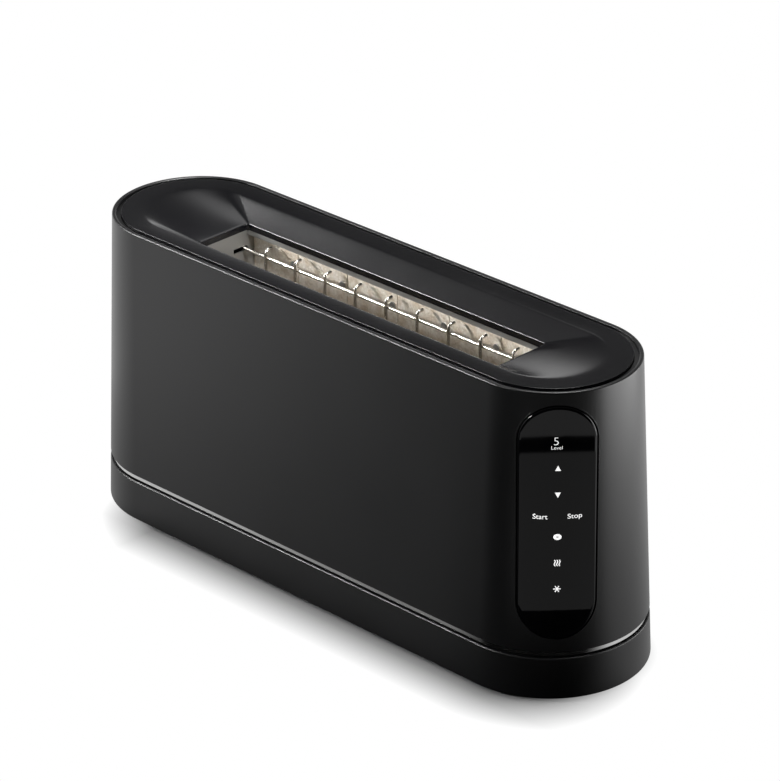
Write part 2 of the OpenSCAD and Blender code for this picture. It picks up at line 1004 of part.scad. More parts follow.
// Point of a tooth's flank: radius from the axis, and half the tooth's width there
function tooth_point(k, r, half_w) =
    let (a = 360 * k / gear_n + half_w / r * 180 / PI)
        [r * cos(a), r * sin(a)];

module pinion() {
    tip_r = pitch_r + tooth_out;
    root_r = pitch_r - tooth_in;
    tip = 0.24 * tooth_t;
    root = 0.72 * tooth_t;
    color("#e3ddcc")
        translate([pinion_x, 0, pinion_z]) {
            translate([0, gear_w / 2, 0])
                rotate([90, 0, 0])
                    linear_extrude(gear_w)
                        polygon([
                            for (k = [0 : gear_n - 1])
                                each [
                                    tooth_point(k, root_r, -root), tooth_point(k, pitch_r, -tooth_t / 2),
                                    tooth_point(k, tip_r, -tip), tooth_point(k, tip_r, tip),
                                    tooth_point(k, pitch_r, tooth_t / 2), tooth_point(k, root_r, root)
                                ]
                        ]);
            translate([0, -gear_w / 2 - 2, 0])
                rotate([-90, 0, 0])
                    cylinder(d = shaft_d, h = gear_w / 2 + 2 + bracket_y + bracket_t + shaft_in);
        }
}

module gearbox() {
    color("#3a3c40")
        difference() {
            translate([pinion_x - box_x / 2, bracket_y + bracket_t, pinion_z - box_h / 2])
                cube([box_x, box_y, box_h]);
            translate([pinion_x, bracket_y, pinion_z])
                rotate([-90, 0, 0])
                    cylinder(d = shaft_d + 2 * run_gap, h = bracket_t + shaft_in + 2);
        }
}

module lift_motor() {
    color("#b9bbbd")
        translate([pinion_x, bracket_y + bracket_t + box_y, pinion_z])
            rotate([-90, 0, 0]) {
                cylinder(d = motor_d, h = motor_l);
                cylinder(d = motor_d / 2, h = motor_l + 2);
            }
}

module motor_bracket() {
    foot_w = 14;
    color("#c9cbcd")
        difference() {
            translate([end_out, bracket_y, pinion_z - bracket_h / 2]) {
                cube([pinion_x + box_x / 2 - end_out, bracket_t, bracket_h]);
                cube([bracket_t, foot_w, bracket_h]);
            }
            translate([pinion_x, bracket_y - 1, pinion_z])
                rotate([-90, 0, 0])
                    cylinder(d = shaft_d + 2, h = bracket_t + 2);
        }
}

module limit_switches() {
    size = [10, 7, 20];
    y = slider_y / 2 + 2;
    color("#222326")
        for (z = [bread_z + lift_up - size[2], low_bar_z + bar_d])
            translate([-end_out - size[0], y, z]) {
                cube(size);
                translate([size[0] / 2, 0, size[2] / 2])
                    rotate([90, 0, 0])
                        cylinder(d = 2, h = 1.5);
            }
}

// Wire cage on the rear side of the slot
module bread_guide() {
    low = low_bar_z - bar_d;
    bar_l = 2 * (end_out + bar_out);
    for (z = [low_bar_z, bar_z])
        translate([-bar_l / 2, bar_y, z])
            rotate([0, 90, 0])
                cylinder(d = bar_d, h = bar_l);
    for (i = [0 : hook_n - 1])
        translate([(i - (hook_n - 1) / 2) * hook_pitch, wire_y, 0]) {
            translate([0, 0, low])
                cylinder(d = wire_d, h = hook_z - low);
            translate([0, hook_bend, hook_z])
                rotate([90, 0, 90])
                    rotate(90)
                        rotate_extrude(angle = 90)
                            translate([hook_bend, 0])
                                circle(d = wire_d);
            translate([0, hook_bend, hook_z + hook_bend])
                rotate([-90, 0, 0])
                    cylinder(d = wire_d, h = hook_l);
        }
}

module front_guide() {
    color("#dcdedf")
        mirror([0, 1, 0])
            bread_guide();
}

module rear_guide() {
    color("#dcdedf")
        bread_guide();
}

module crumb_tray() {
    color("#b5b8bb")
        difference() {
            translate([-front_back, -tray_w / 2, tray_z])
                cube([front_back + tray_end, tray_w, tray_h]);
            translate([-front_back + tray_t, -tray_w / 2 + tray_t, tray_z + tray_t])
                cube([front_back + tray_end - 2 * tray_t, tray_w - 2 * tray_t, tray_h]);
        }
}

module crumb_tray_front() {
    grip_d = 9;
    reach = half_l + wall_r(tray_z + tray_h / 2);
    color("#1b1c1e")
        difference() {
            intersection() {
                translate([-half_l, 0, 0])
                    rotate(90)
                        rotate_extrude(angle = 180)
                            polygon([
                                [0, foot_drop],
                                [wall_r(foot_drop), foot_drop],
                                [wall_r(base_z), base_z],
                                [0, base_z]
                            ]);
                translate([-reach - 20, -tray_w / 2, tray_z])
                    cube([reach + 20 - front_back, tray_w, tray_h]);
            }
            translate([-reach - grip_d / 4, -tray_w / 5, tray_z + tray_h / 2])
                rotate([-90, 0, 0])
                    cylinder(d = grip_d * 0.8, h = 2 * tray_w / 5);
        }
}

module power_board() {
    color("#b08d45")
        translate([-supply_x - pcb_t, -supply_w / 2, supply_z])
            cube([pcb_t, supply_w, supply_h]);
}

// Two posts that stand on the floor beside the tray and grip the board's edges
module board_holder() {
    post = [8, 5];
    grip = 3;
    y = supply_w / 2 - grip;
    color("#2a2b2e")
        for (sy = [0, 1])
            mirror([0, sy, 0])
                difference() {
                    union() {
                        translate([-supply_x - pcb_t / 2 - post[0] / 2, leg_y, floor_z])
                            cube([post[0], post[1] + 2, supply_z - floor_z]);
                        translate([-supply_x - pcb_t / 2 - post[0] / 2, y, supply_z - 4])
                            cube([post[0], leg_y + post[1] + 2 - y, supply_h / 2]);
                    }
                    translate([-supply_x - pcb_t - face_gap, y - 1, supply_z - face_gap])
                        cube([pcb_t + 2 * face_gap, grip + 1 + face_gap, supply_h]);
                }
}

// Stands a block of a size on the outer face of the power board
module on_board(at, size) {
    translate([-supply_x - pcb_t - size[0], at[0] - size[1] / 2, supply_z + at[1]])
        cube(size);
}

module relay() {
    color("#2f5fa8")
        on_board(relay_at, relay_size);
}

module transformer() {
    color("#d8b13c")
        on_board(coil_at, coil_size);
}

module capacitors() {
    color("#3b3f7a")
        for (i = [-1 : 1])
            translate([-supply_x - pcb_t, i * can_pitch, supply_z + can_up])
                rotate([0, -90, 0])
                    cylinder(d = can_d, h = can_h);
}

module terminal_block() {
    block = [30, 12, 14];
    pitch = block[0] / 3;
    color("#e6e4dc")
        translate([-gland_x + gland_od / 2 + gland_lap + 4, leg_y + 1.5, floor_z])
            difference() {
                cube(block);
                for (i = [0 : 2])
                    translate([(i + 0.5) * pitch, block[1] / 2, block[2] - 5])
                        cylinder(d = 5, h = 6);
            }
}

body_shell();
top_cover();
front_ramp();
rear_ramp();
left_dish();
right_dish();
base();
groove_ring();
feet();
base_screws();
cord_gland();
touch_panel();
panel_carrier();
touch_board();
display_module();
touch_pads();
board_screws();
left_end_plate();
right_end_plate();
front_top_rail();
rear_top_rail();
front_reflector();
rear_reflector();
front_mica();
rear_mica();
front_element();
rear_element();
mica_rivets();
thermal_fuse();
guide_rods();
bread_rack();
left_slider();
right_slider();
gear_rack();
pinion();
gearbox();
lift_motor();
motor_bracket();
limit_switches();
front_guide();
rear_guide();
crumb_tray();
crumb_tray_front();
power_board();
board_holder();
relay();
transformer();
capacitors();
terminal_block();
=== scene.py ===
# %% [markdown]
# # Dressing a long slot toaster
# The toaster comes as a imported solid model: every part is in its real place, in metres, with +Z up,
# +X towards the end with the touch panel and -Y towards the front. This lesson leaves that model
# where it is, replaces the pieces that the eye rests on by smoother ones, gives every part a
# material, and lights the whole on white paper.

# %% Load the solid model
import json
import math

import bmesh
import bpy
from mathutils import Matrix, Vector


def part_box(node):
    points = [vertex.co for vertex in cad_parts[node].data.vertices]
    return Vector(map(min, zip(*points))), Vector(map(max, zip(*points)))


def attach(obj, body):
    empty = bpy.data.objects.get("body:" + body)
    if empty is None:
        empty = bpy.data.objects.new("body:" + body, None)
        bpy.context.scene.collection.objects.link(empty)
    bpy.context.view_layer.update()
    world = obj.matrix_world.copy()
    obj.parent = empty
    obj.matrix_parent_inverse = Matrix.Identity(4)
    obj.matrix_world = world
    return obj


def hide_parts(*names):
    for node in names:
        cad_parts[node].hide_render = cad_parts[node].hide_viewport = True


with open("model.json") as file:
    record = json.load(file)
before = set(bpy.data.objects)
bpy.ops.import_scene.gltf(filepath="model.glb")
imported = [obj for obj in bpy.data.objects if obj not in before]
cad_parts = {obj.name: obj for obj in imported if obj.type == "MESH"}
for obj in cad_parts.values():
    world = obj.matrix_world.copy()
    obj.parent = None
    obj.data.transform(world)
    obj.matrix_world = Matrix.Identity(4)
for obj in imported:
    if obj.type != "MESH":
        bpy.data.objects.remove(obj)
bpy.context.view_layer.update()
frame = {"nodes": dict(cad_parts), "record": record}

MM = 0.001
MICRON = 1e-6

# %% [markdown]
# ## Sizes
# The body is a long plan with two rounded ends, drawn in by a draft towards the top. Most of its
# sizes can be read off the boxes of the solid parts, so that a piece made here sits exactly where
# its solid sits. The few that no box gives are named in millimetres.

# %% Read the sizes of the body
shell_low, shell_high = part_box("body_shell")
HALF_L = shell_high.x - shell_high.y
TOP_Z = shell_high.z
SHELL_Z = shell_low.z
DRAFT = math.radians(2.37)
SHELL_T = 2.5 * MM
# Chamfer along the shell's lower edge
HEM_H = 0.6 * MM
HEM_IN = 0.4 * MM
# Rim: its width, its thickness, its flat top and the drop to its inner edge
RIM_W = 2.6 * MM
RIM_T = 3.0 * MM
RIM_FLAT = 1.7 * MM
RIM_DROP = 0.5 * MM
# Shadow gap between rim and cover, with a ledge in it that just misses the cover
COVER_GAP = 3.0 * MM
LEDGE_ROOM = 0.3 * MM
LEDGE_W = COVER_GAP - LEDGE_ROOM
LEDGE_DROP = 2.0 * MM
# Rounded ends of the recess round the slot
RECESS_R = 34.5 * MM


def wall_r(z):
    """Outer radius of the body's rounded ends at a height."""
    return shell_high.y + (SHELL_Z + HEM_H - z) * math.tan(DRAFT)


RIM_R = wall_r(TOP_Z)
COVER_R = RIM_R - RIM_W - COVER_GAP
print("ends", round(RIM_R / MM, 2), "mm at the rim, centres", round(2 * HALF_L / MM, 1), "mm apart")

# %% [markdown]
# ## Camera
# The view is from above the front right corner, with a long lens that keeps the sides nearly
# parallel. A camera can be aimed with a constraint, but a matrix made of its own right, up and back
# directions says the same in a few lines, and it also holds the slight roll of a hand-set tripod.

# %% Set up the camera
IMAGE_H = 781
SENSOR = 36.0
FOCAL_PX = 3945.1
DISTANCE = 2318.4 * MM
AZIMUTH = math.radians(44.71)
ELEVATION = math.radians(26.16)
ROLL = math.radians(-0.42)
TARGET = Vector((17.77, 0, 124.81)) * MM

back = Vector((math.sin(AZIMUTH) * math.cos(ELEVATION),
               -math.cos(AZIMUTH) * math.cos(ELEVATION),
               math.sin(ELEVATION)))
level_right = Vector((math.cos(AZIMUTH), math.sin(AZIMUTH), 0))
level_up = back.cross(level_right)
right = math.cos(ROLL) * level_right + math.sin(ROLL) * level_up
up = math.cos(ROLL) * level_up - math.sin(ROLL) * level_right
turn = Matrix((right, up, back)).transposed().to_4x4()

lens = bpy.data.cameras.new("camera")
lens.sensor_width = SENSOR
lens.lens = FOCAL_PX / IMAGE_H * SENSOR
lens.clip_end = 20
camera = bpy.data.objects.new("camera", lens)
camera.matrix_world = Matrix.Translation(TARGET + back * DISTANCE) @ turn
bpy.context.scene.collection.objects.link(camera)
bpy.context.scene.camera = camera
print("camera at", [round(c, 3) for c in camera.location], "lens", round(lens.lens, 1), "mm")

# %% [markdown]
# ## Helpers for materials
# Colours are picked in sRGB, as on a paint card, but the shader counts in linear light, so one
# function turns a hex value into what a socket needs. A second function adds a node, sets what is
# set on it and links what is linked to it, which keeps a material readable as a short list. The
# others start a material, end it with its shader and set the stops of a colour ramp.

# %% Colour and node helpers
def colour(code):
    """A hex colour from a paint card as linear RGBA."""
    parts = [int(code[i:i + 2], 16) / 255 for i in (1, 3, 5)]
    return [c / 12.92 if c <= 0.04045 else ((c + 0.055) / 1.055) ** 2.4 for c in parts] + [1.0]


def add(tree, kind, inputs=None, **settings):
    """One node with its settings; an input is a value, or the socket that feeds it."""
    made = tree.nodes.new(kind)
    for key, value in settings.items():
        setattr(made, key, value)
    for key, value in (inputs or {}).items():
        if isinstance(value, bpy.types.NodeSocket):
            tree.links.new(value, made.inputs[key])
        else:
            made.inputs[key].default_value = value
    return made


def set_stops(node, *stops):
    """Sets a colour ramp to stops of a place from 0 to 1 and a colour."""
    line = node.color_ramp.elements
    for element, (at, tone) in zip(line, (stops[0], stops[-1])):
        element.position = at
        element.color = tone
    for at, tone in stops[1:-1]:
        line.new(at).color = tone


def bare(name):
    """A new material with an empty node tree, and its coordinates in metres."""
    material = bpy.data.materials.new(name)
    material.use_nodes = True
    tree = material.node_tree
    tree.nodes.clear()
    return material, tree, add(tree, "ShaderNodeTexCoord").outputs["Object"]


def surface(tree, inputs):
    """Ends a material with its shader, which gets values or sockets as its inputs."""
    shader = add(tree, "ShaderNodeBsdfPrincipled", inputs)
    add(tree, "ShaderNodeOutputMaterial", {"Surface": shader.outputs[0]})


print("black paint in linear light:", [round(c, 4) for c in colour("#1a1b1d")[:3]])

# %% [markdown]
# ## Black finishes
# The body is a metal shell with a satin black coat. A coat like that has a very fine orange-peel
# texture, which spreads highlights into long soft gradients. The cover and the base are moulded in
# black plastic with a spark-eroded grain. The base is about as dull as the coat. The cover is
# smoother, so the recess shows soft mirror images. A fine noise drives a tiny bump, and a broad noise
# moves the roughness a little. The real grains are some tenths of a millimetre, which is finer than
# a pixel of the picture, so they are drawn a little wider than a pixel.

# %% Satin coat and moulded plastic
PATCH = 60 * MM
UNEVEN = 0.02
# Most of a noise lies between these two values
NOISE_MIN = 0.3
NOISE_MAX = 0.7


def satin_black(name, tone, roughness, grain, relief):
    """A black finish with a grain of a size in millimetres and a relief in micrometres."""
    material, tree, place = bare(name)
    fine = add(tree, "ShaderNodeTexNoise", {"Vector": place, "Scale": 1 / (grain * MM), "Detail": 3.0})
    broad = add(tree, "ShaderNodeTexNoise", {"Vector": place, "Scale": 1 / PATCH, "Detail": 2.0})
    rough = add(tree, "ShaderNodeMapRange", {
        "Value": broad.outputs[0],
        "From Min": NOISE_MIN,
        "From Max": NOISE_MAX,
        "To Min": roughness - UNEVEN,
        "To Max": roughness + UNEVEN,
    })
    bump = add(tree, "ShaderNodeBump", {"Height": fine.outputs[0], "Distance": relief * MICRON})
    surface(tree, {
        "Base Color": colour(tone),
        "IOR": 1.5,
        "Roughness": rough.outputs[0],
        "Normal": bump.outputs[0],
    })
    return material


satin_coat = satin_black("satin_black_powder_coat", "#070708", 0.34, 0.9, 2.0)
moulded_cover = satin_black("moulded_black_abs_cover", "#08080a", 0.20, 0.7, 1.5)
moulded_base = satin_black("moulded_black_abs_base", "#070708", 0.36, 0.7, 2.0)
print("made", satin_coat.name, moulded_cover.name, moulded_base.name)

# %% [markdown]
# ## Modelling by hand, in code
# Everything is deselected before a primitive is added, because an operator acts on all that is
# selected. Faces and edges are then picked by a test on their place, as one would pick them with
# the mouse, and every finished piece is dressed in the same way: it gets its material, rides on a
# body of the solid model and hides the solids that it stands for.

# %% Modelling helpers
PICK = {"verts": "VERT", "edges": "EDGE", "faces": "FACE"}
NEAR = 0.01 * MM


def begin():
    """Leaves edit mode and deselects everything."""
    if bpy.context.object and bpy.context.object.mode == "EDIT":
        bpy.ops.object.mode_set(mode="OBJECT")
    bpy.ops.object.select_all(action="DESELECT")


def named(name):
    """Names the primitive that was just added and opens it in edit mode."""
    piece = bpy.context.object
    piece.name = name
    piece.data.name = name
    bpy.ops.object.mode_set(mode="EDIT")
    return piece


def only(piece):
    """Selects one piece alone and makes it the active one."""
    begin()
    piece.select_set(True)
    bpy.context.view_layer.objects.active = piece


def reopen(piece):
    """Opens a piece again in edit mode."""
    only(piece)
    bpy.ops.object.mode_set(mode="EDIT")


def disc(name, steps, radius):
    """Adds a filled circle and opens it in edit mode."""
    begin()
    bpy.ops.mesh.primitive_circle_add(vertices=steps, radius=radius, fill_type="NGON")
    return named(name)


def extrude(move):
    """Extrudes what is selected, by a move in metres."""
    bpy.ops.mesh.extrude_region_move(TRANSFORM_OT_translate={"value": move})


def pick(piece, kind, test):
    """Selects the vertices, edges or faces that pass a test."""
    bpy.ops.mesh.select_mode(type=PICK[kind])
    bpy.ops.mesh.select_all(action="DESELECT")
    mesh = bmesh.from_edit_mesh(piece.data)
    for part in getattr(mesh, kind):
        if test(part):
            part.select_set(True)
    mesh.select_flush_mode()
    bmesh.update_edit_mesh(piece.data)


def close_up(piece, angle=30.0):
    """Merges doubles, turns the faces outwards and shades smooth up to an angle."""
    reopen(piece)
    bpy.ops.mesh.select_all(action="SELECT")
    bpy.ops.mesh.remove_doubles(threshold=NEAR)
    bpy.ops.mesh.normals_make_consistent(inside=False)
    bpy.ops.object.mode_set(mode="OBJECT")
    bpy.ops.object.shade_smooth_by_angle(angle=math.radians(angle))
    return piece


def apply_modifier(piece, kind, **settings):
    """Adds a modifier with its settings and applies it."""
    only(piece)
    modifier = piece.modifiers.new(kind.lower(), kind)
    for key, value in settings.items():
        setattr(modifier, key, value)
    bpy.ops.object.modifier_apply(modifier=modifier.name)


def cut(piece, cutter, operation="DIFFERENCE"):
    """Cuts a piece with another one, or unites them; the other one is then thrown away."""
    apply_modifier(piece, "BOOLEAN", object=cutter, operation=operation, solver="EXACT")
    bpy.data.objects.remove(cutter)


def extent(piece):
    """Lowest and highest corner of a piece's mesh."""
    spots = [v.co for v in piece.data.vertices]
    return [Vector([end(s[i] for s in spots) for i in range(3)]) for end in (min, max)]


def dress(piece, material, body="housing", stands_for=()):
    """Gives a finished piece its material, its body and the solids that it replaces."""
    piece.data.materials.clear()
    piece.data.materials.append(material)
    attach(piece, body)
    if stands_for:
        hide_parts(*stands_for)
    low, high = extent(piece)
    print(piece.name, len(piece.data.polygons), "faces,", [round(s / MM, 1) for s in high - low], "mm")


print("places within", NEAR / MM, "mm count as one")

# %% [markdown]
# ## Sweeping a section round the long plan
# Shell, cover ring and base all have the same plan: two half circles joined by straight sides. One
# could model a slab and bevel its corners, but the sections have fine steps that should run round
# unchanged. So the section is drawn once, as a line of extruded vertices, spun half a turn round
# the centre of the right end, drawn out to the middle of the body and mirrored. Corners are rounded
# in the section itself, with a short straight stretch beside each arc that keeps the shading of the
# large faces flat.

# %% Section and sweep helpers
ARC_STEPS = 5
SPIN_STEPS = 64
HOLD = 0.3 * MM


def rounded(corners):
    """Points of an outline of (r, z, rounding) corners; the first and last stay sharp."""
    points = [Vector(corners[0][:2])]
    for before, corner, after in zip(corners, corners[1:], corners[2:]):
        tip = Vector(corner[:2])
        radius = corner[2]
        if not radius:
            points.append(tip)
            continue
        inward = (Vector(before[:2]) - tip).normalized()
        onward = (Vector(after[:2]) - tip).normalized()
        half = inward.angle(onward) / 2
        reach = radius / math.tan(half)
        centre = tip + (inward + onward).normalized() * radius / math.sin(half)
        first = tip + inward * reach - centre
        last = tip + onward * reach - centre
        swing = math.pi - 2 * half
        points.append(tip + inward * (reach + HOLD))
        for i in range(ARC_STEPS + 1):
            t = i / ARC_STEPS
            share = math.sin((1 - t) * swing) * first + math.sin(t * swing) * last
            points.append(centre + share / math.sin(swing))
        points.append(tip + onward * (reach + HOLD))
    points.append(Vector(corners[-1][:2]))
    return points


def draw_section(name, points):
    """A chain of edges through (r, z) points, at the front of the right rounded end."""
    begin()
    bpy.ops.mesh.primitive_plane_add(size=MM)
    piece = named(name)
    bpy.ops.mesh.select_mode(type="VERT")
    bpy.ops.mesh.select_all(action="SELECT")
    bpy.ops.mesh.merge(type="CENTER")
    places = [Vector((HALF_L, -p[0], p[1])) for p in points]
    bpy.ops.transform.translate(value=places[0])
    for a, b in zip(places, places[1:]):
        bpy.ops.mesh.extrude_vertices_move(TRANSFORM_OT_translate={"value": b - a})
    return piece


def sweep(name, corners, closed=True):
    """A section of (r, z, rounding) corners, swept round the whole long plan."""
    points = rounded(corners + corners[:1] if closed else corners)
    piece = draw_section(name, points)
    bpy.ops.mesh.select_all(action="SELECT")
    bpy.ops.mesh.spin(steps=SPIN_STEPS, angle=math.pi, center=(HALF_L, 0, 0), axis=(0, 0, -1))
    for side in (-1, 1):
        pick(piece, "edges", lambda e: e.calc_length() > NEAR
             and all(abs(v.co.x - HALF_L) < NEAR and v.co.y * side >= -NEAR for v in e.verts))
        extrude((-HALF_L, 0, 0))
    apply_modifier(piece, "MIRROR", use_clip=True, merge_threshold=NEAR)
    print("swept", name, "round the plan, from", len(points), "points")
    return close_up(piece)


print(SPIN_STEPS, "steps in a half turn,", ARC_STEPS, "in a rounded corner")

# %% [markdown]
# ## Body shell
# The shell is one tapered skin with a narrow rim on top, a ledge beside it that leaves a shadow gap
# round the cover, and a small chamfer along its lower edge. It could be modelled as a solid and
# shelled out with Solidify, but all these are part of the section, so a closed section gives outside,
# inside and both edges in one sweep.

# %% Sweep the shell
HEM_ROUND = 0.3 * MM
RIM_OUTER_ROUND = 0.9 * MM
RIM_TOP_ROUND = 0.6 * MM
RIM_INNER_ROUND = 0.2 * MM
shell = sweep("shell", [
    (wall_r(SHELL_Z) - SHELL_T, SHELL_Z, 0),
    (wall_r(SHELL_Z) - HEM_IN, SHELL_Z, 0),
    (wall_r(SHELL_Z + HEM_H), SHELL_Z + HEM_H, HEM_ROUND),
    (RIM_R, TOP_Z, RIM_OUTER_ROUND),
    (RIM_R - RIM_FLAT, TOP_Z, RIM_TOP_ROUND),
    (RIM_R - RIM_W, TOP_Z - RIM_DROP, RIM_INNER_ROUND),
    (RIM_R - RIM_W, TOP_Z - LEDGE_DROP, 0),
    (RIM_R - RIM_W - LEDGE_W, TOP_Z - LEDGE_DROP, 0),
    (RIM_R - RIM_W - LEDGE_W, TOP_Z - RIM_T, 0),
    (wall_r(TOP_Z - RIM_T) - SHELL_T, TOP_Z - RIM_T, 0),
])

# %% [markdown]
# ## Opening for the touch panel
# The panel is a tall pill on the rounded corner, cut straight through the wall along its own
# direction. A circle with an even number of vertices, turned by half a step, can be pulled apart
# into a pill without a vertex left in the middle. The cutter is that pill, extruded.

# %% Cut the panel's opening
panel_low, panel_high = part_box("touch_panel")
PANEL_GAP = 0.4 * MM
PANEL_ANGLE = math.radians(43)
PANEL_W = 46.0 * MM
PANEL_H = panel_high.z - panel_low.z + 2 * PANEL_GAP
PANEL_Z = (panel_low.z + panel_high.z) / 2
PILL_STEPS = 96
CUT_DEPTH = 100 * MM
out = Vector((math.cos(PANEL_ANGLE), -math.sin(PANEL_ANGLE), 0))
across = Vector((math.sin(PANEL_ANGLE), math.cos(PANEL_ANGLE), 0))
panel_place = Matrix((across, Vector((0, 0, 1)), out)).transposed().to_4x4()
panel_place.translation = Vector((HALF_L, 0, PANEL_Z))


def pill(name, grow):
    """A flat pill as large as the panel's opening, grown by a margin, in its own plane."""
    piece = disc(name, PILL_STEPS, PANEL_W / 2 + grow)
    bpy.ops.transform.rotate(value=math.pi / PILL_STEPS, orient_axis="Z", center_override=(0, 0, 0))
    for side in (-1, 1):
        pick(piece, "verts", lambda v: v.co.y * side > 0)
        bpy.ops.transform.translate(value=(0, side * (PANEL_H - PANEL_W) / 2, 0))
    return piece


cutter = pill("cutter", 0)
bpy.ops.mesh.select_all(action="SELECT")
extrude((0, 0, CUT_DEPTH))
close_up(cutter)
cutter.data.transform(panel_place)
cut(shell, cutter)
close_up(shell)
dress(shell, satin_coat, stands_for=["body_shell"])

# %% [markdown]
# ## Wrapping flat work onto the corner
# Panel, its rim and the marks on it are drawn flat, where they are easy to measure, and then laid
# on the tapered corner: each point keeps its height and its sideways place, and moves out to the
# wall's radius there. The third coordinate becomes the height above the wall.

# %% Wrap helper
def wrap(piece):
    """Lays a piece that was drawn flat onto the wall at the panel."""
    for v in piece.data.vertices:
        z = PANEL_Z + v.co.y
        radius = wall_r(z)
        turned = math.asin(v.co.x / radius)
        spot = (out * math.cos(turned) + across * math.sin(turned)) * (radius + v.co.z)
        v.co = Vector((HALF_L + spot.x, spot.y, z))
    piece.data.update()


print("wall at the panel's middle:", round(wall_r(PANEL_Z) / MM, 1), "mm from its centre line")

# %% [markdown]
# ## Touch panel
# The lens is a glossy black sheet, flush with the shell, with a fine rounded edge. The pill is
# extruded to the sheet's thickness and its outer edge is bevelled. An inset repeated many times then
# fills the face with rings, so that the sheet can follow the corner smoothly. Polished glass with a
# black back mirrors the room sharply. A faint smear from wiping, a few centimetres wide, takes the
# edge off.

# %% Gloss black lens
SMEAR = 25 * MM
lens_gloss, tree, place = bare("gloss_black_glass")
smear = add(tree, "ShaderNodeTexNoise", {"Vector": place, "Scale": 1 / SMEAR, "Detail": 4.0})
haze = add(tree, "ShaderNodeMapRange", {"Value": smear.outputs[0], "To Min": 0.02, "To Max": 0.04})
surface(tree, {"Base Color": colour("#050506"), "IOR": 1.5, "Roughness": haze.outputs[0]})

BEAD_ROOM = 0.5 * MM
LENS_T = 2.2 * MM
LENS_EDGE = 0.35 * MM
RINGS = 15
lens_sheet = pill("touch_lens", -PANEL_GAP - BEAD_ROOM)
bpy.ops.mesh.select_all(action="SELECT")
extrude((0, 0, LENS_T))
pick(lens_sheet, "edges", lambda e: all(v.co.z > LENS_T - NEAR for v in e.verts))
bpy.ops.mesh.bevel(offset=LENS_EDGE, segments=3)
pick(lens_sheet, "faces", lambda f: all(v.co.z > LENS_T - NEAR for v in f.verts))
for i in range(RINGS):
    bpy.ops.mesh.inset(thickness=PANEL_W / 2 / (RINGS + 1))
begin()
lens_sheet.data.transform(Matrix.Translation((0, 0, -LENS_T)))
wrap(lens_sheet)
close_up(lens_sheet)
dress(lens_sheet, lens_gloss, stands_for=["touch_panel"])

# %% [markdown]
# ## Marks on the panel
# The marks are white symbols under the lens: a digit with its caption, two arrows, two words and three
# pictures for a bagel, warming and frozen bread. They could be painted in a texture, but as thin
# solids they stay sharp at any distance. Each is drawn flat in the panel's own plane, in
# millimetres from its middle. Words are text objects with a little extrusion, turned into meshes.

# %% Draw the words
MARK_T = 0.1 * MM
marks = []


def word(body, x, y, height, width, weight):
    """A text of a height and a width in millimetres round x and y; a weight thickens its strokes."""
    begin()
    bpy.ops.object.text_add()
    piece = bpy.context.object
    piece.data.body = body
    piece.data.extrude = MARK_T / 2 / MM
    piece.data.offset = weight
    bpy.ops.object.convert(target="MESH")
    low, high = extent(piece)
    size = high - low
    piece.data.transform(Matrix.Scale(MM, 4) @ Matrix.Translation((x, y, 0))
                         @ Matrix.Diagonal((width / size.x, height / size.y, 1, 1))
                         @ Matrix.Translation(-(low + high) / 2))
    marks.append(close_up(piece))


word("5", -1.2, 50.6, 4.5, 2.7, -0.022)
word("Level", -0.7, 46.7, 2.1, 6.2, -0.012)
word("Start", -9.7, 4.5, 3.0, 8.2, 0.0)
word("Stop", 9.7, 4.1, 3.8, 8.2, 0.0)
print(len(marks), "words")

# %% [markdown]
# The pictures start from primitives and get their thickness from Solidify. An arrow is a circle of
# three vertices, the bagel is an inset circle without its middle, the warm air is three wavy strips,
# and the frost is three bars that are united.

# %% Draw the pictures
# In millimetres, but the arrow's slimness and the waves' lean are shares of a height
UP_Y = 34.3
DOWN_Y = 16.7
ARROW_R = 2.15
ARROW_SLIM = 0.88
ARROW_DROP = 0.58
BAGEL_Y = -7.9
BAGEL_HALF = (2.3, 1.8, 1)
BAGEL_BAND = 1.45
WARM_Y = -24.0
WAVE_H = 3.8
WAVE_W = 0.6
WAVE_PITCH = 1.35
WAVE_SWING = 0.34
WAVE_LEAN = 0.08
FROST_Y = -40.2
BAR = (4.2, 0.55, 1)


def picture(piece, x, y):
    """Gives a flat drawing in millimetres its thickness and its place."""
    begin()
    piece.data.transform(Matrix.Translation((x * MM, y * MM, 0)) @ Matrix.Scale(MM, 4))
    apply_modifier(piece, "SOLIDIFY", thickness=MARK_T, offset=0)
    marks.append(close_up(piece))


for turned, y in ((1, UP_Y), (-1, DOWN_Y)):
    arrow = disc("arrow", 3, ARROW_R)
    bpy.ops.transform.resize(value=(ARROW_SLIM, turned, 1))
    picture(arrow, 0, y - ARROW_DROP * turned)

bagel = disc("bagel", 48, 1)
bpy.ops.transform.resize(value=BAGEL_HALF)
bpy.ops.mesh.select_all(action="SELECT")
bpy.ops.mesh.inset(thickness=BAGEL_BAND)
bpy.ops.mesh.delete(type="FACE")
picture(bagel, 0, BAGEL_Y)

for x in (-WAVE_PITCH, 0, WAVE_PITCH):
    begin()
    bpy.ops.mesh.primitive_grid_add(x_subdivisions=1, y_subdivisions=16, size=1)
    wave = named("wave")
    bpy.ops.transform.resize(value=(WAVE_W, WAVE_H, 1))
    begin()
    for v in wave.data.vertices:
        v.co.x += WAVE_SWING * math.sin(2 * math.pi * v.co.y / WAVE_H) - WAVE_LEAN * v.co.y
    picture(wave, x, WARM_Y)

bars = []
for i in range(3):
    begin()
    bpy.ops.mesh.primitive_plane_add(size=1)
    bar = named("bar")
    bpy.ops.transform.resize(value=BAR)
    bpy.ops.transform.rotate(value=i * math.pi / 3, orient_axis="Z", center_override=(0, 0, 0))
    picture(bar, 0, FROST_Y)
    bars.append(marks.pop())
cut(bars[0], bars[1], "UNION")
cut(bars[0], bars[2], "UNION")
marks.append(close_up(bars[0]))
print(len(marks), "words and pictures")
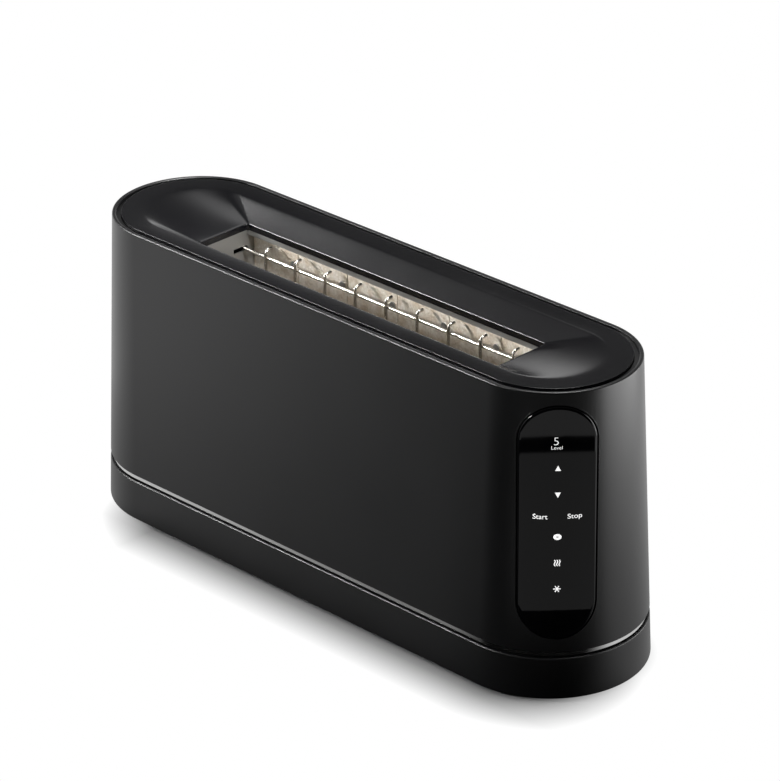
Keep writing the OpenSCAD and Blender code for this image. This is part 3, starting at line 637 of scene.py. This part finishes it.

# %% [markdown]
# All marks are joined into one piece and wrapped like the lens. Each is milky white and glows almost
# evenly by emission, with a faint cloudiness: a painted glow, as no lamp stands behind it.

# %% Lay the marks on the lens
CLOUDINESS = 1.5 * MM
# The marks' glow is painted light: an emission, with no lamp behind it
glowing_white, tree, place = bare("painted_glow_white_symbol")
milk = add(tree, "ShaderNodeTexNoise", {"Vector": place, "Scale": 1 / CLOUDINESS, "Detail": 2.0})
glow = add(tree, "ShaderNodeMapRange", {"Value": milk.outputs[0], "To Min": 0.75, "To Max": 0.95})
surface(tree, {
    "Base Color": colour("#f4f4f2"),
    "Roughness": 0.4,
    "Emission Color": colour("#ffffff"),
    "Emission Strength": glow.outputs[0],
})
begin()
for piece in marks:
    piece.select_set(True)
bpy.context.view_layer.objects.active = marks[0]
bpy.ops.object.join()
symbols = bpy.context.object
symbols.name = symbols.data.name = "panel_symbols"
wrap(symbols)
close_up(symbols)
dress(symbols, glowing_white)

# %% [markdown]
# ## Edge of the opening
# The wall is turned in a little round the lens, which catches a thin line of light. A bevel on the
# cut edge would fight with the many small faces that the cut leaves, so the edge is a round bead of
# its own: the pill's outline as a curve with a small bevel depth, made a mesh and wrapped.

# %% Bead round the lens
BEAD_R = 0.25 * MM
BEAD_SINK = 0.8 * BEAD_R
bead = pill("lens_bead", BEAD_R)
bpy.ops.mesh.delete(type="ONLY_FACE")
only(bead)
bpy.ops.object.convert(target="CURVE")
bead.data.bevel_depth = BEAD_R
bead.data.bevel_resolution = 3
bead.data.transform(Matrix.Translation((0, 0, -BEAD_SINK)))
bpy.ops.object.convert(target="MESH")
wrap(bead)
close_up(bead, angle=60)
dress(bead, satin_coat)

# %% [markdown]
# ## Top cover
# The cover is a flat ring inside the rim that drops into a long funnel round the slot: steep along
# the sides, long and shallow at the ends, with a soft valley from each corner of the slot. Starting
# from a swept ring, its inner edge is drawn out to the slot.

# %% Ring of the cover
ramp_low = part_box("rear_ramp")[0]
LIP_H = 4.0 * MM
SLOT_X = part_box("right_dish")[0].x
SLOT_Y = ramp_low.y
SLOT_Z = ramp_low.z + LIP_H
FLANGE_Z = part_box("top_cover")[0].z
COVER_EDGE = 0.2 * MM
cover = sweep("cover", [
    (COVER_R, FLANGE_Z, 0),
    (COVER_R, TOP_Z, COVER_EDGE),
    (RECESS_R, TOP_Z, 0),
], closed=False)
print("slot", round(2 * SLOT_X / MM), "by", round(2 * SLOT_Y / MM), "mm, edge", round(SLOT_Z / MM), "mm up")

# %% [markdown]
# The ring's inner edge is extruded, each new vertex is slid to the slot's outline and down, and the
# rungs in between are subdivided. The vertices of each rounded end are shared out over the end of the
# slot and its two small corners. The heights of the rungs then follow a curve that starts level, so
# the ring rolls over into the funnel without a crease.

# %% Funnel of the cover
RUNGS = 24
SOFT = 0.06
SLOT_CORNER = 2.0 * MM
CORNER_SHARE = 0.12


def slot_point(co):
    """Where a point of the recess's upper edge belongs on the slot's outline."""
    over = abs(co.x) - HALF_L
    if over <= -NEAR:
        return Vector((co.x, math.copysign(SLOT_Y, co.y), SLOT_Z))
    if over < NEAR:
        along = 0.0 if co.y < 0 else 1.0
    else:
        along = math.atan2(co.y, over) / math.pi + 0.5
    flat_y = SLOT_Y - SLOT_CORNER
    flat_x = SLOT_X - SLOT_CORNER
    if along < CORNER_SHARE:
        angle = math.pi / 2 * (along / CORNER_SHARE - 1)
        x = flat_x + SLOT_CORNER * math.cos(angle)
        y = -flat_y + SLOT_CORNER * math.sin(angle)
    elif along > 1 - CORNER_SHARE:
        angle = math.pi / 2 * (along - 1 + CORNER_SHARE) / CORNER_SHARE
        x = flat_x + SLOT_CORNER * math.cos(angle)
        y = flat_y + SLOT_CORNER * math.sin(angle)
    else:
        x = SLOT_X
        y = flat_y * (2 * (along - CORNER_SHARE) / (1 - 2 * CORNER_SHARE) - 1)
    return Vector((math.copysign(x, co.x), y, SLOT_Z))


def ramp(t):
    """Share of the drop on the way from the ring to the slot, starting level."""
    return (math.hypot(t, SOFT) - SOFT) / (math.hypot(1, SOFT) - SOFT)


reopen(cover)
pick(cover, "edges", lambda e: e.is_boundary and all(v.co.z > TOP_Z - NEAR for v in e.verts))
extrude((0, 0, -MM))
mesh = bmesh.from_edit_mesh(cover.data)
for v in [v for v in mesh.verts if v.select]:
    upper = max((e.other_vert(v) for e in v.link_edges), key=lambda w: w.co.z)
    v.co = slot_point(upper.co)
bmesh.update_edit_mesh(cover.data)
pick(cover, "edges", lambda e: min(v.co.z for v in e.verts) < SLOT_Z + NEAR
     and max(v.co.z for v in e.verts) > TOP_Z - NEAR)
bpy.ops.mesh.subdivide(number_cuts=RUNGS - 1)
begin()
for v in cover.data.vertices:
    from_middle = math.hypot(max(0, abs(v.co.x) - HALF_L), v.co.y)
    if SLOT_Z - NEAR < v.co.z < TOP_Z - NEAR and from_middle < RECESS_R:
        t = (TOP_Z - v.co.z) / (TOP_Z - SLOT_Z)
        v.co.z = TOP_Z - (TOP_Z - SLOT_Z) * ramp(t)
print("funnel of", RUNGS, "rungs")

# %% [markdown]
# The funnel ends in a short upright lip round the slot with a rounded edge. The lip is one more
# extrusion, the edge is a bevel, and Solidify gives the whole cover its thickness.

# %% Lip and thickness of the cover
COVER_T = 2.0 * MM
LIP_EDGE = 0.35 * MM
reopen(cover)
pick(cover, "edges", lambda e: e.is_boundary
     and all(v.co.z < SLOT_Z + NEAR and abs(v.co.y) < SLOT_Y + NEAR for v in e.verts))
extrude((0, 0, -LIP_H))
pick(cover, "edges", lambda e: len(e.link_faces) == 2
     and all(abs(v.co.z - SLOT_Z) < NEAR for v in e.verts))
bpy.ops.mesh.bevel(offset=LIP_EDGE, segments=3)
close_up(cover)
apply_modifier(cover, "SOLIDIFY", thickness=COVER_T, offset=-1)
close_up(cover)
dress(cover, moulded_cover,
      stands_for=["top_cover", "front_ramp", "rear_ramp", "left_dish", "right_dish"])

# %% [markdown]
# ## Base
# The base is a moulded tray with a floor. A narrow seat above its band carries the shell and leaves
# the dark shadow gap. It is swept like the shell, from an open section whose two ends meet on the
# plan's middle line, so that the floor closes by itself when doubles are merged.

# %% Sweep the base
base_low, base_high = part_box("base")
ring_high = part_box("groove_ring")[1]
GAP_H = 3.9 * MM
FLOOR_T = 3.5 * MM
BASE_T = 2.5 * MM
BOTTOM_ROUND = 1.2 * MM
BAND_ROUND = 0.8 * MM
RING_T = 0.6 * MM
RING_ROOM = 0.1 * MM
RING_RISE = 1.1 * MM
GROOVE_D = 2.0 * MM
COLLAR_ROOM = 0.3 * MM
BASE_Z = SHELL_Z - GAP_H
FLOOR_Z = base_low.z + FLOOR_T
RING_Z = BASE_Z + RING_RISE
seat_r = ring_high.y - RING_T - RING_ROOM
groove_r = seat_r - GROOVE_D
collar_r = wall_r(base_high.z) - SHELL_T - COLLAR_ROOM
inner_r = collar_r - BASE_T
shelf_z = BASE_Z - BASE_T
base = sweep("base_tray", [
    (0, base_low.z, 0),
    (wall_r(base_low.z), base_low.z, BOTTOM_ROUND),
    (wall_r(BASE_Z), BASE_Z, BAND_ROUND),
    (groove_r, BASE_Z, 0),
    (groove_r, RING_Z, 0),
    (seat_r, RING_Z, 0),
    (seat_r, SHELL_Z, 0),
    (collar_r, SHELL_Z, 0),
    (collar_r, base_high.z, 0),
    (inner_r, base_high.z, 0),
    (inner_r, shelf_z, 0),
    (wall_r(shelf_z) - BASE_T, shelf_z - (wall_r(shelf_z) - BASE_T - inner_r), 0),
    (wall_r(FLOOR_Z) - BASE_T, FLOOR_Z, 0),
    (0, FLOOR_Z, 0),
], closed=False)

# %% [markdown]
# The base has a mouth for the crumb tray in its left end, pockets for the feet, screw holes, air
# slots and the seat of the cord gland. Each is cut with a box or a cylinder, at its place in the
# solid model.

# %% Boxes and cylinders to cut with
DRUM_STEPS = 48


def block(name, low, high):
    """A box between two corners."""
    begin()
    bpy.ops.mesh.primitive_cube_add(size=1)
    piece = named(name)
    begin()
    middle = (Vector(low) + Vector(high)) / 2
    size = Vector(high) - Vector(low)
    piece.data.transform(Matrix.Translation(middle) @ Matrix.Diagonal((*size, 1)))
    return piece


def drum(name, centre, radius, length, axis="Z"):
    """A cylinder round a centre, along Z or Y."""
    begin()
    bpy.ops.mesh.primitive_cylinder_add(vertices=DRUM_STEPS, radius=radius, depth=length)
    piece = named(name)
    begin()
    tilt = Matrix.Rotation(math.pi / 2, 4, "X") if axis == "Y" else Matrix.Identity(4)
    piece.data.transform(Matrix.Translation(centre) @ tilt)
    return piece


print("drums have", DRUM_STEPS, "sides")

# %% Cut the openings of the base
front_low, front_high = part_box("crumb_tray_front")
TRAY_GAP = 0.4 * MM
MOUTH_OUT = 5 * MM
MOUTH_IN = 10 * MM
cut(base, block("mouth",
                (front_low.x - MOUTH_OUT, front_low.y - TRAY_GAP, FLOOR_Z),
                (front_high.x + MOUTH_IN, front_high.y + TRAY_GAP, front_high.z + TRAY_GAP)))

FOOT_R = 7.0 * MM
HEAD_R = 3.0 * MM
ROOM = 0.3 * MM
POCKET_D = 1.5 * MM
SINK_D = 2.0 * MM
feet_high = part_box("feet")[1]
screw_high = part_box("base_screws")[1]
foot_at = Vector((feet_high.x - FOOT_R, feet_high.y - FOOT_R, 0))
screw_at = Vector((screw_high.x - HEAD_R, screw_high.y - HEAD_R, 0))
for sx in (-1, 1):
    for sy in (-1, 1):
        for name, at, radius, depth in (("pocket", foot_at, FOOT_R, POCKET_D),
                                        ("sink", screw_at, HEAD_R, SINK_D)):
            cut(base, drum(name, (sx * at.x, sy * at.y, base_low.z), radius + ROOM, 2 * depth))

VENTS = 8
VENT_PITCH = 14 * MM
VENT_Y = 44.1 * MM
VENT_W = 3 * MM
VENT_L = 14 * MM
VENT_TOP = 10 * MM
for sy in (-1, 1):
    for i in range(VENTS):
        x = (i - (VENTS - 1) / 2) * VENT_PITCH
        cut(base, block("vent",
                        (x - VENT_W / 2, sy * VENT_Y - VENT_L / 2, 0),
                        (x + VENT_W / 2, sy * VENT_Y + VENT_L / 2, VENT_TOP)))

GLAND_R = 6.0 * MM
GLAND_ROOM = 0.1 * MM
GLAND_D = 9 * MM
gland_low, gland_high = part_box("cord_gland")
gland_axis = (gland_low + gland_high) / 2
gland_end = (gland_axis.x, gland_high.y, gland_axis.z)
cut(base, drum("gland_seat", gland_end, GLAND_R + GLAND_ROOM, 2 * GLAND_D, "Y"))
close_up(base)
dress(base, moulded_base, stands_for=["base"])

# %% [markdown]
# ## Bright ring in the groove
# Between base and shell runs a recessed ring of polished steel. From above one looks past the
# shell's lower edge onto it, so it shows as a bright line over the black ledge of the base.

# %% Sweep the ring
RING_ROUND = 0.15 * MM
trim_ring = sweep("trim_ring", [
    (ring_high.y - RING_T, RING_Z, 0),
    (ring_high.y, RING_Z, RING_ROUND),
    (ring_high.y, ring_high.z, RING_ROUND),
    (ring_high.y - RING_T, ring_high.z, 0),
])

# %% [markdown]
# ## Metals
# The parts inside keep their solids, but each gets the finish that it has on a real toaster. Rolled
# sheet and drawn wire have fine streaks along their length. A noise that is stretched along X gives
# them: it moves the roughness up and down and lifts a bump of a micrometre. Real streaks are finer
# than a pixel of the picture, so they are drawn about a pixel wide. Sheet, ring, screws, wire and
# heating ribbon differ in tone, roughness and width of streak, so one function makes all. Polished
# steel and nickel give small bright lights, rolled and plated sheet broad grey ones, and the oxide on
# the ribbon leaves little shine.

# %% Metal finishes
STREAK_SQUEEZE = 0.06
STREAK_CHANGE = 0.05


def metal(name, tone, roughness, streak):
    """A metal with fine streaks of a width in millimetres, along X."""
    material, tree, place = bare(name)
    stretch = add(tree, "ShaderNodeMapping", {"Vector": place, "Scale": (STREAK_SQUEEZE, 1.0, 1.0)})
    lines = add(tree, "ShaderNodeTexNoise",
                {"Vector": stretch.outputs[0], "Scale": 1 / (streak * MM), "Detail": 4.0})
    rough = add(tree, "ShaderNodeMapRange", {
        "Value": lines.outputs[0],
        "From Min": NOISE_MIN,
        "From Max": NOISE_MAX,
        "To Min": roughness - STREAK_CHANGE,
        "To Max": roughness + STREAK_CHANGE,
    })
    bump = add(tree, "ShaderNodeBump", {"Height": lines.outputs[0], "Distance": MICRON})
    surface(tree, {
        "Base Color": colour(tone),
        "Metallic": 1.0,
        "Roughness": rough.outputs[0],
        "Normal": bump.outputs[0],
    })
    return material


steel_sheet = metal("rolled_stainless_steel", "#aaaaa8", 0.42, 0.8)
bright_sheet = metal("bright_aluminised_steel", "#dcdddd", 0.36, 0.8)
trim_bright = metal("polished_stainless_steel", "#f0f0ef", 0.16, 0.8)
plated_steel = metal("zinc_plated_steel", "#b4b6b8", 0.32, 0.6)
wire_nickel = metal("nickel_plated_wire", "#cfcac2", 0.24, 0.5)
ribbon_alloy = metal("oxidised_heating_alloy", "#6d675f", 0.45, 0.5)
metals = (steel_sheet, bright_sheet, trim_bright, plated_steel, wire_nickel, ribbon_alloy)
print("metals:", [finish.name for finish in metals])

# %% [markdown]
# ## Mica
# The board behind the heating ribbon is pressed from small flakes of mica. Voronoi cells of about
# a millimetre each take their own tone between two warm greys, as flakes do. A larger cloudy noise
# is multiplied over them, for the uneven colour of a pressed sheet.

# %% Mica board
FLAKE = 1.1 * MM
CLOUD = 6 * MM
mica, tree, place = bare("pressed_mica_board")
flakes = add(tree, "ShaderNodeTexVoronoi", {"Vector": place, "Scale": 1 / FLAKE})
clouds = add(tree, "ShaderNodeTexNoise", {"Vector": place, "Scale": 1 / CLOUD, "Detail": 6.0})
tones = add(tree, "ShaderNodeValToRGB", {"Fac": flakes.outputs["Color"]})
set_stops(tones, (0, colour("#d4cabb")), (1, colour("#f2ece2")))
shade = add(tree, "ShaderNodeValToRGB", {"Fac": clouds.outputs[0]})
set_stops(shade, (0.35, colour("#e6ddd0")), (0.6, colour("#ffffff")))
mixed = add(tree, "ShaderNodeMix", {"Factor": 1.0, "A": tones.outputs[0], "B": shade.outputs[0]},
            data_type="RGBA", blend_type="MULTIPLY")
surface(tree, {"Base Color": mixed.outputs["Result"], "Roughness": 0.5})
print("flakes of", FLAKE / MM, "mm on", mica.name)

# %% [markdown]
# ## Rubber, plastics and ceramics
# Feet, sliders, boards and the small electric parts are moulded, coated or glazed. They share one
# recipe of a tone, a roughness and a fine grain. Rubber and foam look dull and deep, moulded nylon,
# resin and acetal have a soft sheen, and solder mask, glaze, sleeve and relay case a clear one. A
# dictionary then pairs every finish slot of the record with its material, and a loop hands them out.

# %% Plastic finishes
GRAIN_RELIEF = 6 * MICRON


def plastic(name, tone, roughness, grain):
    """A moulded plastic with a grain of a size in millimetres."""
    material, tree, place = bare(name)
    fine = add(tree, "ShaderNodeTexNoise", {"Vector": place, "Scale": 1 / (grain * MM), "Detail": 3.0})
    bump = add(tree, "ShaderNodeBump", {"Height": fine.outputs[0], "Distance": GRAIN_RELIEF})
    surface(tree, {"Base Color": colour(tone), "Roughness": roughness, "Normal": bump.outputs[0]})
    return material


FINISH = {
    "shell_black": satin_coat,
    "cover_black": moulded_cover,
    "base_black": moulded_base,
    "panel_gloss": lens_gloss,
    "trim_bright": trim_bright,
    "steel_sheet": steel_sheet,
    "bright_sheet": bright_sheet,
    "plated_steel": plated_steel,
    "guide_wire": wire_nickel,
    "heating_ribbon": ribbon_alloy,
    "mica_board": mica,
    "foot_rubber": plastic("black_rubber", "#0d0d0e", 0.75, 0.5),
    "dark_plastic": plastic("dark_moulded_nylon", "#1c1d20", 0.5, 0.6),
    "pad_foam": plastic("conductive_foam", "#232326", 0.9, 0.8),
    "board_green": plastic("green_solder_mask", "#1f5a38", 0.35, 1.2),
    "display_white": plastic("white_moulded_resin", "#e8e8e4", 0.5, 0.6),
    "slider_plastic": plastic("natural_acetal", "#e3ddcc", 0.4, 0.6),
    "fuse_ceramic": plastic("glazed_ceramic", "#d9cfae", 0.3, 1.0),
    "relay_blue": plastic("blue_relay_case", "#2f5fa8", 0.3, 0.6),
    "coil_yellow": plastic("yellow_coil_tape", "#d8b13c", 0.45, 0.5),
    "capacitor_sleeve": plastic("shrink_sleeve", "#3b3f7a", 0.3, 0.6),
}
for part in frame["record"]["subparts"]:
    solid = frame["nodes"][part["node"]]
    solid.data.materials.clear()
    solid.data.materials.append(FINISH[part["material_slot"]])
print(len(FINISH), "finishes on", len(frame["nodes"]), "solids")
dress(trim_ring, trim_bright, stands_for=["groove_ring"])

# %% [markdown]
# ## White paper
# The toaster stands on a round sheet of white paper whose edge curves up far away. A plane would end
# in a hard horizon, so the edge of a circle is extruded step by step along a quarter circle.

# %% White paper
FLOOR_R = 4.0
COVE_R = 1.5
COVE_STEPS = 6
floor = disc("paper", 96, FLOOR_R)
for i in range(COVE_STEPS):
    a = math.pi / 2 * i / COVE_STEPS
    b = math.pi / 2 * (i + 1) / COVE_STEPS
    grown = (FLOOR_R + COVE_R * math.sin(b)) / (FLOOR_R + COVE_R * math.sin(a))
    rise = COVE_R * (math.cos(a) - math.cos(b))
    pick(floor, "edges", lambda e: e.is_boundary)
    bpy.ops.mesh.extrude_edges_move(TRANSFORM_OT_translate={"value": (0, 0, rise)})
    bpy.ops.transform.resize(value=(grown, grown, 1), center_override=(0, 0, 0))
begin()
print("paper", 2 * FLOOR_R, "m across, with a cove of", COVE_R, "m")

# %% [markdown]
# Near the toaster the paper is a grey diffuse surface that takes the lamps' shadow; its dark grey is
# painted shade, which deepens that contact shadow. Further out it turns to plain white for the camera
# and for reflections, by way of the Light Path node, so the background is white without more light on
# the toaster. The distance from the toaster is measured in the material, from the middle line of the
# plan. Past the left end and from the front to the back some more is added to it, so the painted shade
# stays along the front. Towards the camera the paper stays grey in reflections, a painted dark
# reflection, while the camera sees it white.

# %% Finish of the paper
# Width of the grey stretch of painted shade, then the axis along which it narrows, from where, to where and
# by how much
SHADOW_W = 30 * MM
PAST_LEFT = ("X", -130 * MM, -190 * MM, 30 * MM)
PAST_FRONT = ("Y", -65 * MM, 14 * MM, 26 * MM)
# Where towards the camera the paper starts to darken in reflections, and where it is dark, in metres
DARK_FROM = 1.0
DARK_TO = 2.5
paper, tree, place = bare("white_paper_painted_shade")


def plan_distance(tree, place):
    """Distance from the middle line of the toaster's plan."""
    folded = add(tree, "ShaderNodeVectorMath", {0: place}, operation="ABSOLUTE")
    beyond = add(tree, "ShaderNodeVectorMath", {0: folded.outputs[0], 1: (HALF_L, 0, 0)},
                 operation="SUBTRACT")
    kept = add(tree, "ShaderNodeVectorMath", {0: beyond.outputs[0], 1: (0, 0, 0)}, operation="MAXIMUM")
    return add(tree, "ShaderNodeVectorMath", {0: kept.outputs[0]}, operation="LENGTH").outputs["Value"]


axes = add(tree, "ShaderNodeSeparateXYZ", {0: place})
away = plan_distance(tree, place)
for axis, start, stop, most in (PAST_LEFT, PAST_FRONT):
    more = add(tree, "ShaderNodeMapRange", {
        "Value": axes.outputs[axis],
        "From Min": start,
        "From Max": stop,
        "To Min": 0.0,
        "To Max": most,
    })
    away = add(tree, "ShaderNodeMath", {0: away, 1: more.outputs[0]}).outputs[0]
# Mask from the grey of painted shade near the toaster to white further out
shade_to_white = add(tree, "ShaderNodeMapRange", {
    "Value": away,
    "From Min": wall_r(0),
    "From Max": wall_r(0) + SHADOW_W,
})
rays = add(tree, "ShaderNodeLightPath")
towards_camera = add(tree, "ShaderNodeVectorMath", {0: place, 1: (back.x, back.y, 0)},
                     operation="DOT_PRODUCT")
# Towards the camera, reflections see the grey paper: a painted dark reflection
white_reflection_side = add(tree, "ShaderNodeMapRange", {
    "Value": towards_camera.outputs["Value"],
    "From Min": DARK_FROM,
    "From Max": DARK_TO,
    "To Min": 1.0,
    "To Max": 0.0,
})
gloss = add(tree, "ShaderNodeMath", {0: rays.outputs["Is Glossy Ray"], 1: white_reflection_side.outputs[0]},
            operation="MULTIPLY")
seen = add(tree, "ShaderNodeMath", {0: rays.outputs["Is Camera Ray"], 1: gloss.outputs[0]},
           operation="MAXIMUM")
seen = add(tree, "ShaderNodeMath", {0: seen.outputs[0], 1: rays.outputs["Is Transmission Ray"]},
           operation="MAXIMUM")
share = add(tree, "ShaderNodeMath", {0: seen.outputs[0], 1: shade_to_white.outputs[0]}, operation="MULTIPLY")
# Grey diffuse paper: near the toaster its grey is painted shade that deepens the contact shadow
painted_shade_grey = add(tree, "ShaderNodeBsdfDiffuse", {"Color": colour("#7d7d7d")})
white = add(tree, "ShaderNodeEmission", {"Color": (1, 1, 1, 1), "Strength": 1.0})
both = add(tree, "ShaderNodeMixShader", {0: share.outputs[0], 1: painted_shade_grey.outputs[0], 2: white.outputs[0]})
add(tree, "ShaderNodeOutputMaterial", {"Surface": both.outputs[0]})
floor.data.materials.append(paper)
print("paper fades to white over", SHADOW_W / MM, "mm")

# %% [markdown]
# ## Black cloth, seen only in reflections
# A black body shows its surroundings more than its own colour. On white paper alone the wall would
# be grey all over, so black cloth is laid on the paper where the wall mirrors it. It is left out of
# the picture and of the light, so it is seen only in reflections: a painted reflection. It is dense in
# front of the rounded corner and thins out to the left and to the right, which paints the long
# gradients on the wall: light at both ends and nearly black beside the panel.

# %% Black cloth
CLOTH_R = 2.5
CLOTH_Z = 0.2 * MM
cloth = disc("cloth", 64, CLOTH_R)
begin()
cloth.data.transform(Matrix.Translation((0, 0, CLOTH_Z)))
print("cloth", 2 * CLOTH_R, "m across")

# %% [markdown]
# The cloth's finish is a black pile that thins out to nothing. How open it is comes from the distances
# to two lines on the floor, one from the foot of the front wall and one from the foot of the rounded
# end. Close to the toaster it is denser, except past the left end.

# %% Finish of the cloth
front_foot = Vector((HALF_L, -wall_r(0), 0))
front_left = Vector((-0.785, 0.62, 0))
end_foot = Vector((HALF_L + 54 * MM, -19 * MM, 0))
end_left = Vector((-0.174, 0.985, 0))
# Distances in metres between which the cloth opens, and how open it is on the way to the left
FRONT_FADE = (-0.02, 0.28)
FRONT_STOPS = ((0.06, 0), (0.14, 0.29), (0.30, 0.33), (0.48, 0.45), (0.70, 0.72), (0.95, 1))
END_FADE = (-0.02, 0.04)
CLOSE_FADE = (50 * MM, 300 * MM)
CLOSE_SHARE = 0.58
PAST_LEFT_END = (-0.22, -0.36)
painted_reflection_velvet, tree, place = bare("black_velvet_painted_reflection")


def beside(foot, side):
    """Distance of the shaded point from a line through a foot, to one side."""
    step = add(tree, "ShaderNodeVectorMath", {0: place, 1: foot}, operation="SUBTRACT")
    reach = add(tree, "ShaderNodeVectorMath", {0: step.outputs[0], 1: side}, operation="DOT_PRODUCT")
    return reach.outputs["Value"]


front_reach = add(tree, "ShaderNodeMapRange", {
    "Value": beside(front_foot, front_left),
    "From Min": FRONT_FADE[0],
    "From Max": FRONT_FADE[1],
})
front_share = add(tree, "ShaderNodeValToRGB", {"Fac": front_reach.outputs[0]})
set_stops(front_share, *((at, (share, share, share, 1)) for at, share in FRONT_STOPS))
end_share = add(tree, "ShaderNodeMapRange", {
    "Value": beside(end_foot, end_left),
    "From Min": END_FADE[0],
    "From Max": END_FADE[1],
}, interpolation_type="SMOOTHSTEP")
open_share = add(tree, "ShaderNodeMath", {0: front_share.outputs[0], 1: end_share.outputs[0]},
                 operation="MAXIMUM")
close_share = add(tree, "ShaderNodeMapRange", {
    "Value": plan_distance(tree, place),
    "From Min": wall_r(0) + CLOSE_FADE[0],
    "From Max": wall_r(0) + CLOSE_FADE[1],
    "To Min": CLOSE_SHARE,
})
left_share = add(tree, "ShaderNodeMapRange", {
    "Value": add(tree, "ShaderNodeSeparateXYZ", {0: place}).outputs["X"],
    "From Min": PAST_LEFT_END[0],
    "From Max": PAST_LEFT_END[1],
})
close_share = add(tree, "ShaderNodeMath", {0: close_share.outputs[0], 1: left_share.outputs[0]},
                  operation="MAXIMUM")
open_share = add(tree, "ShaderNodeMath", {0: open_share.outputs[0], 1: close_share.outputs[0]},
                 operation="MULTIPLY")
# The black pile is a painted reflection: only reflections see it
pile = add(tree, "ShaderNodeBsdfDiffuse", {"Color": colour("#050505")})
clear = add(tree, "ShaderNodeBsdfTransparent")
both = add(tree, "ShaderNodeMixShader", {0: open_share.outputs[0], 1: pile.outputs[0], 2: clear.outputs[0]})
add(tree, "ShaderNodeOutputMaterial", {"Surface": both.outputs[0]})
cloth.data.materials.append(painted_reflection_velvet)


def only_in_gloss(thing):
    """Keeps a thing out of the picture and of the light, so that it is only a painted reflection."""
    thing.visible_camera = False
    thing.visible_diffuse = False
    thing.visible_shadow = False


only_in_gloss(cloth)
print(painted_reflection_velvet.name, "with", len(FRONT_STOPS), "steps along the front")

# %% [markdown]
# ## Glowing boards, seen only in reflections
# The glossy lens shows two grey fields with a dark band between them. They are painted reflections:
# mirror images of two glowing boards on the floor that are left out of the picture and of the light,
# so only reflections see them. To get straight edges on a curved lens, the boards are traced
# backwards: a ray goes from the camera to a grid of places on the lens, is reflected there, and each
# corner of the board is put where that ray meets the floor.

# %% Glowing boards for painted reflections
def mirrored(angle, z):
    """Where on the floor the camera looks when it sees the lens at an angle and a height."""
    z -= wall_r(z) * (1 - math.cos(angle)) * math.tan(ELEVATION)
    level = out * math.cos(angle) + across * math.sin(angle)
    spot = Vector((HALF_L, 0, z)) + level * wall_r(z)
    normal = (level + Vector((0, 0, math.tan(DRAFT)))).normalized()
    ray = (spot - camera.location).normalized().reflect(normal)
    return spot - ray * spot.z / ray.z


BOARD_SPAN = math.radians(27)
# Lower and upper edge as seen on the lens, and glow
BOARDS = ((58.5 * MM, 156 * MM, 0.25), (165.5 * MM, 186 * MM, 0.36))
for low_z, high_z, glow in BOARDS:
    begin()
    bpy.ops.mesh.primitive_grid_add(x_subdivisions=24, y_subdivisions=8, size=1)
    board = named("board")
    begin()
    for v in board.data.vertices:
        v.co = mirrored(v.co.x * 2 * BOARD_SPAN, low_z + (v.co.y + 0.5) * (high_z - low_z))
        v.co.z = 2 * CLOTH_Z
    card, tree = bare("painted_reflection_board")[:2]
    # The board's glow is a painted reflection on the lens
    shine = add(tree, "ShaderNodeEmission", {"Strength": glow})
    add(tree, "ShaderNodeOutputMaterial", {"Surface": shine.outputs[0]})
    board.data.materials.append(card)
    only_in_gloss(board)
    print("board with a glow of", glow, "from", [round(c, 2) for c in board.data.vertices[0].co[:2]])

# %% [markdown]
# ## World and lamps
# A dim even world fills the shadows. The softboxes are named for where they hang. The overhead one
# lights the paper and makes the soft shadow. The left ones draw a line along the rim and brighten
# the left end of the funnel, the one behind gives the top its faint sheen, and a low one on the right
# models the rounded end. Two spots in narrow tubes shine into the slot, one on the mica and one on
# the left end plate, so that the inside glows without lighting the black body.

# %% World and lamps
world = bpy.data.worlds.new("studio")
bpy.context.scene.world = world
world.use_nodes = True
tree = world.node_tree
tree.nodes.clear()
dim = add(tree, "ShaderNodeBackground", {"Color": (0.09, 0.09, 0.09, 1)})
add(tree, "ShaderNodeOutputWorld", {"Surface": dim.outputs[0]})


def hang(lamp, spot, aim):
    """Hangs a lamp at a spot, turned towards an aim, both in metres, out of the picture."""
    holder = bpy.data.objects.new(lamp.name, lamp)
    facing = (Vector(aim) - Vector(spot)).to_track_quat("-Z", "Y").to_matrix().to_4x4()
    holder.matrix_world = Matrix.Translation(spot) @ facing
    holder.visible_camera = False
    bpy.context.scene.collection.objects.link(holder)


def softbox(name, spot, aim, size, power):
    """A rectangular lamp of a size in metres and a power in watts."""
    lamp = bpy.data.lights.new(name, "AREA")
    lamp.shape = "RECTANGLE"
    lamp.size, lamp.size_y = size
    lamp.energy = power
    hang(lamp, spot, aim)


def snoot(name, spot, aim, angle, radius, power):
    """A lamp in a tube, with a cone of an angle in degrees and a mouth of a radius in metres."""
    lamp = bpy.data.lights.new(name, "SPOT")
    lamp.spot_size = math.radians(angle)
    lamp.spot_blend = 0.3
    lamp.shadow_soft_size = radius
    lamp.energy = power
    hang(lamp, spot, aim)


softbox("overhead", (0.12, 0.26, 1.5), (0.12, 0.25, 0), (0.9, 0.3), 18)
softbox("left", (-0.98, -0.30, 0.90), (-0.1, 0, 0.15), (0.50, 0.35), 8.5)
softbox("high_left", (-0.96, -0.10, 1.34), (0, 0, 0.19), (0.6, 0.6), 0.3)
softbox("back_left", (-0.55, 0.90, 1.40), (0, 0, 0.19), (0.8, 0.5), 1.8)
softbox("right", (0.445, 0.30, 0.11), (0.145, 0, 0.10), (0.5, 0.22), 1.4)
snoot("slot_snoot", (-0.85, -0.90, 0.63), (-0.045, 0, 0.20), 12, 0.32, 480)
snoot("end_snoot", (0.85, -0.12, 0.70), (-0.135, -0.022, 0.165), 5, 0.05, 230)
bpy.context.scene.view_settings.view_transform = "Standard"
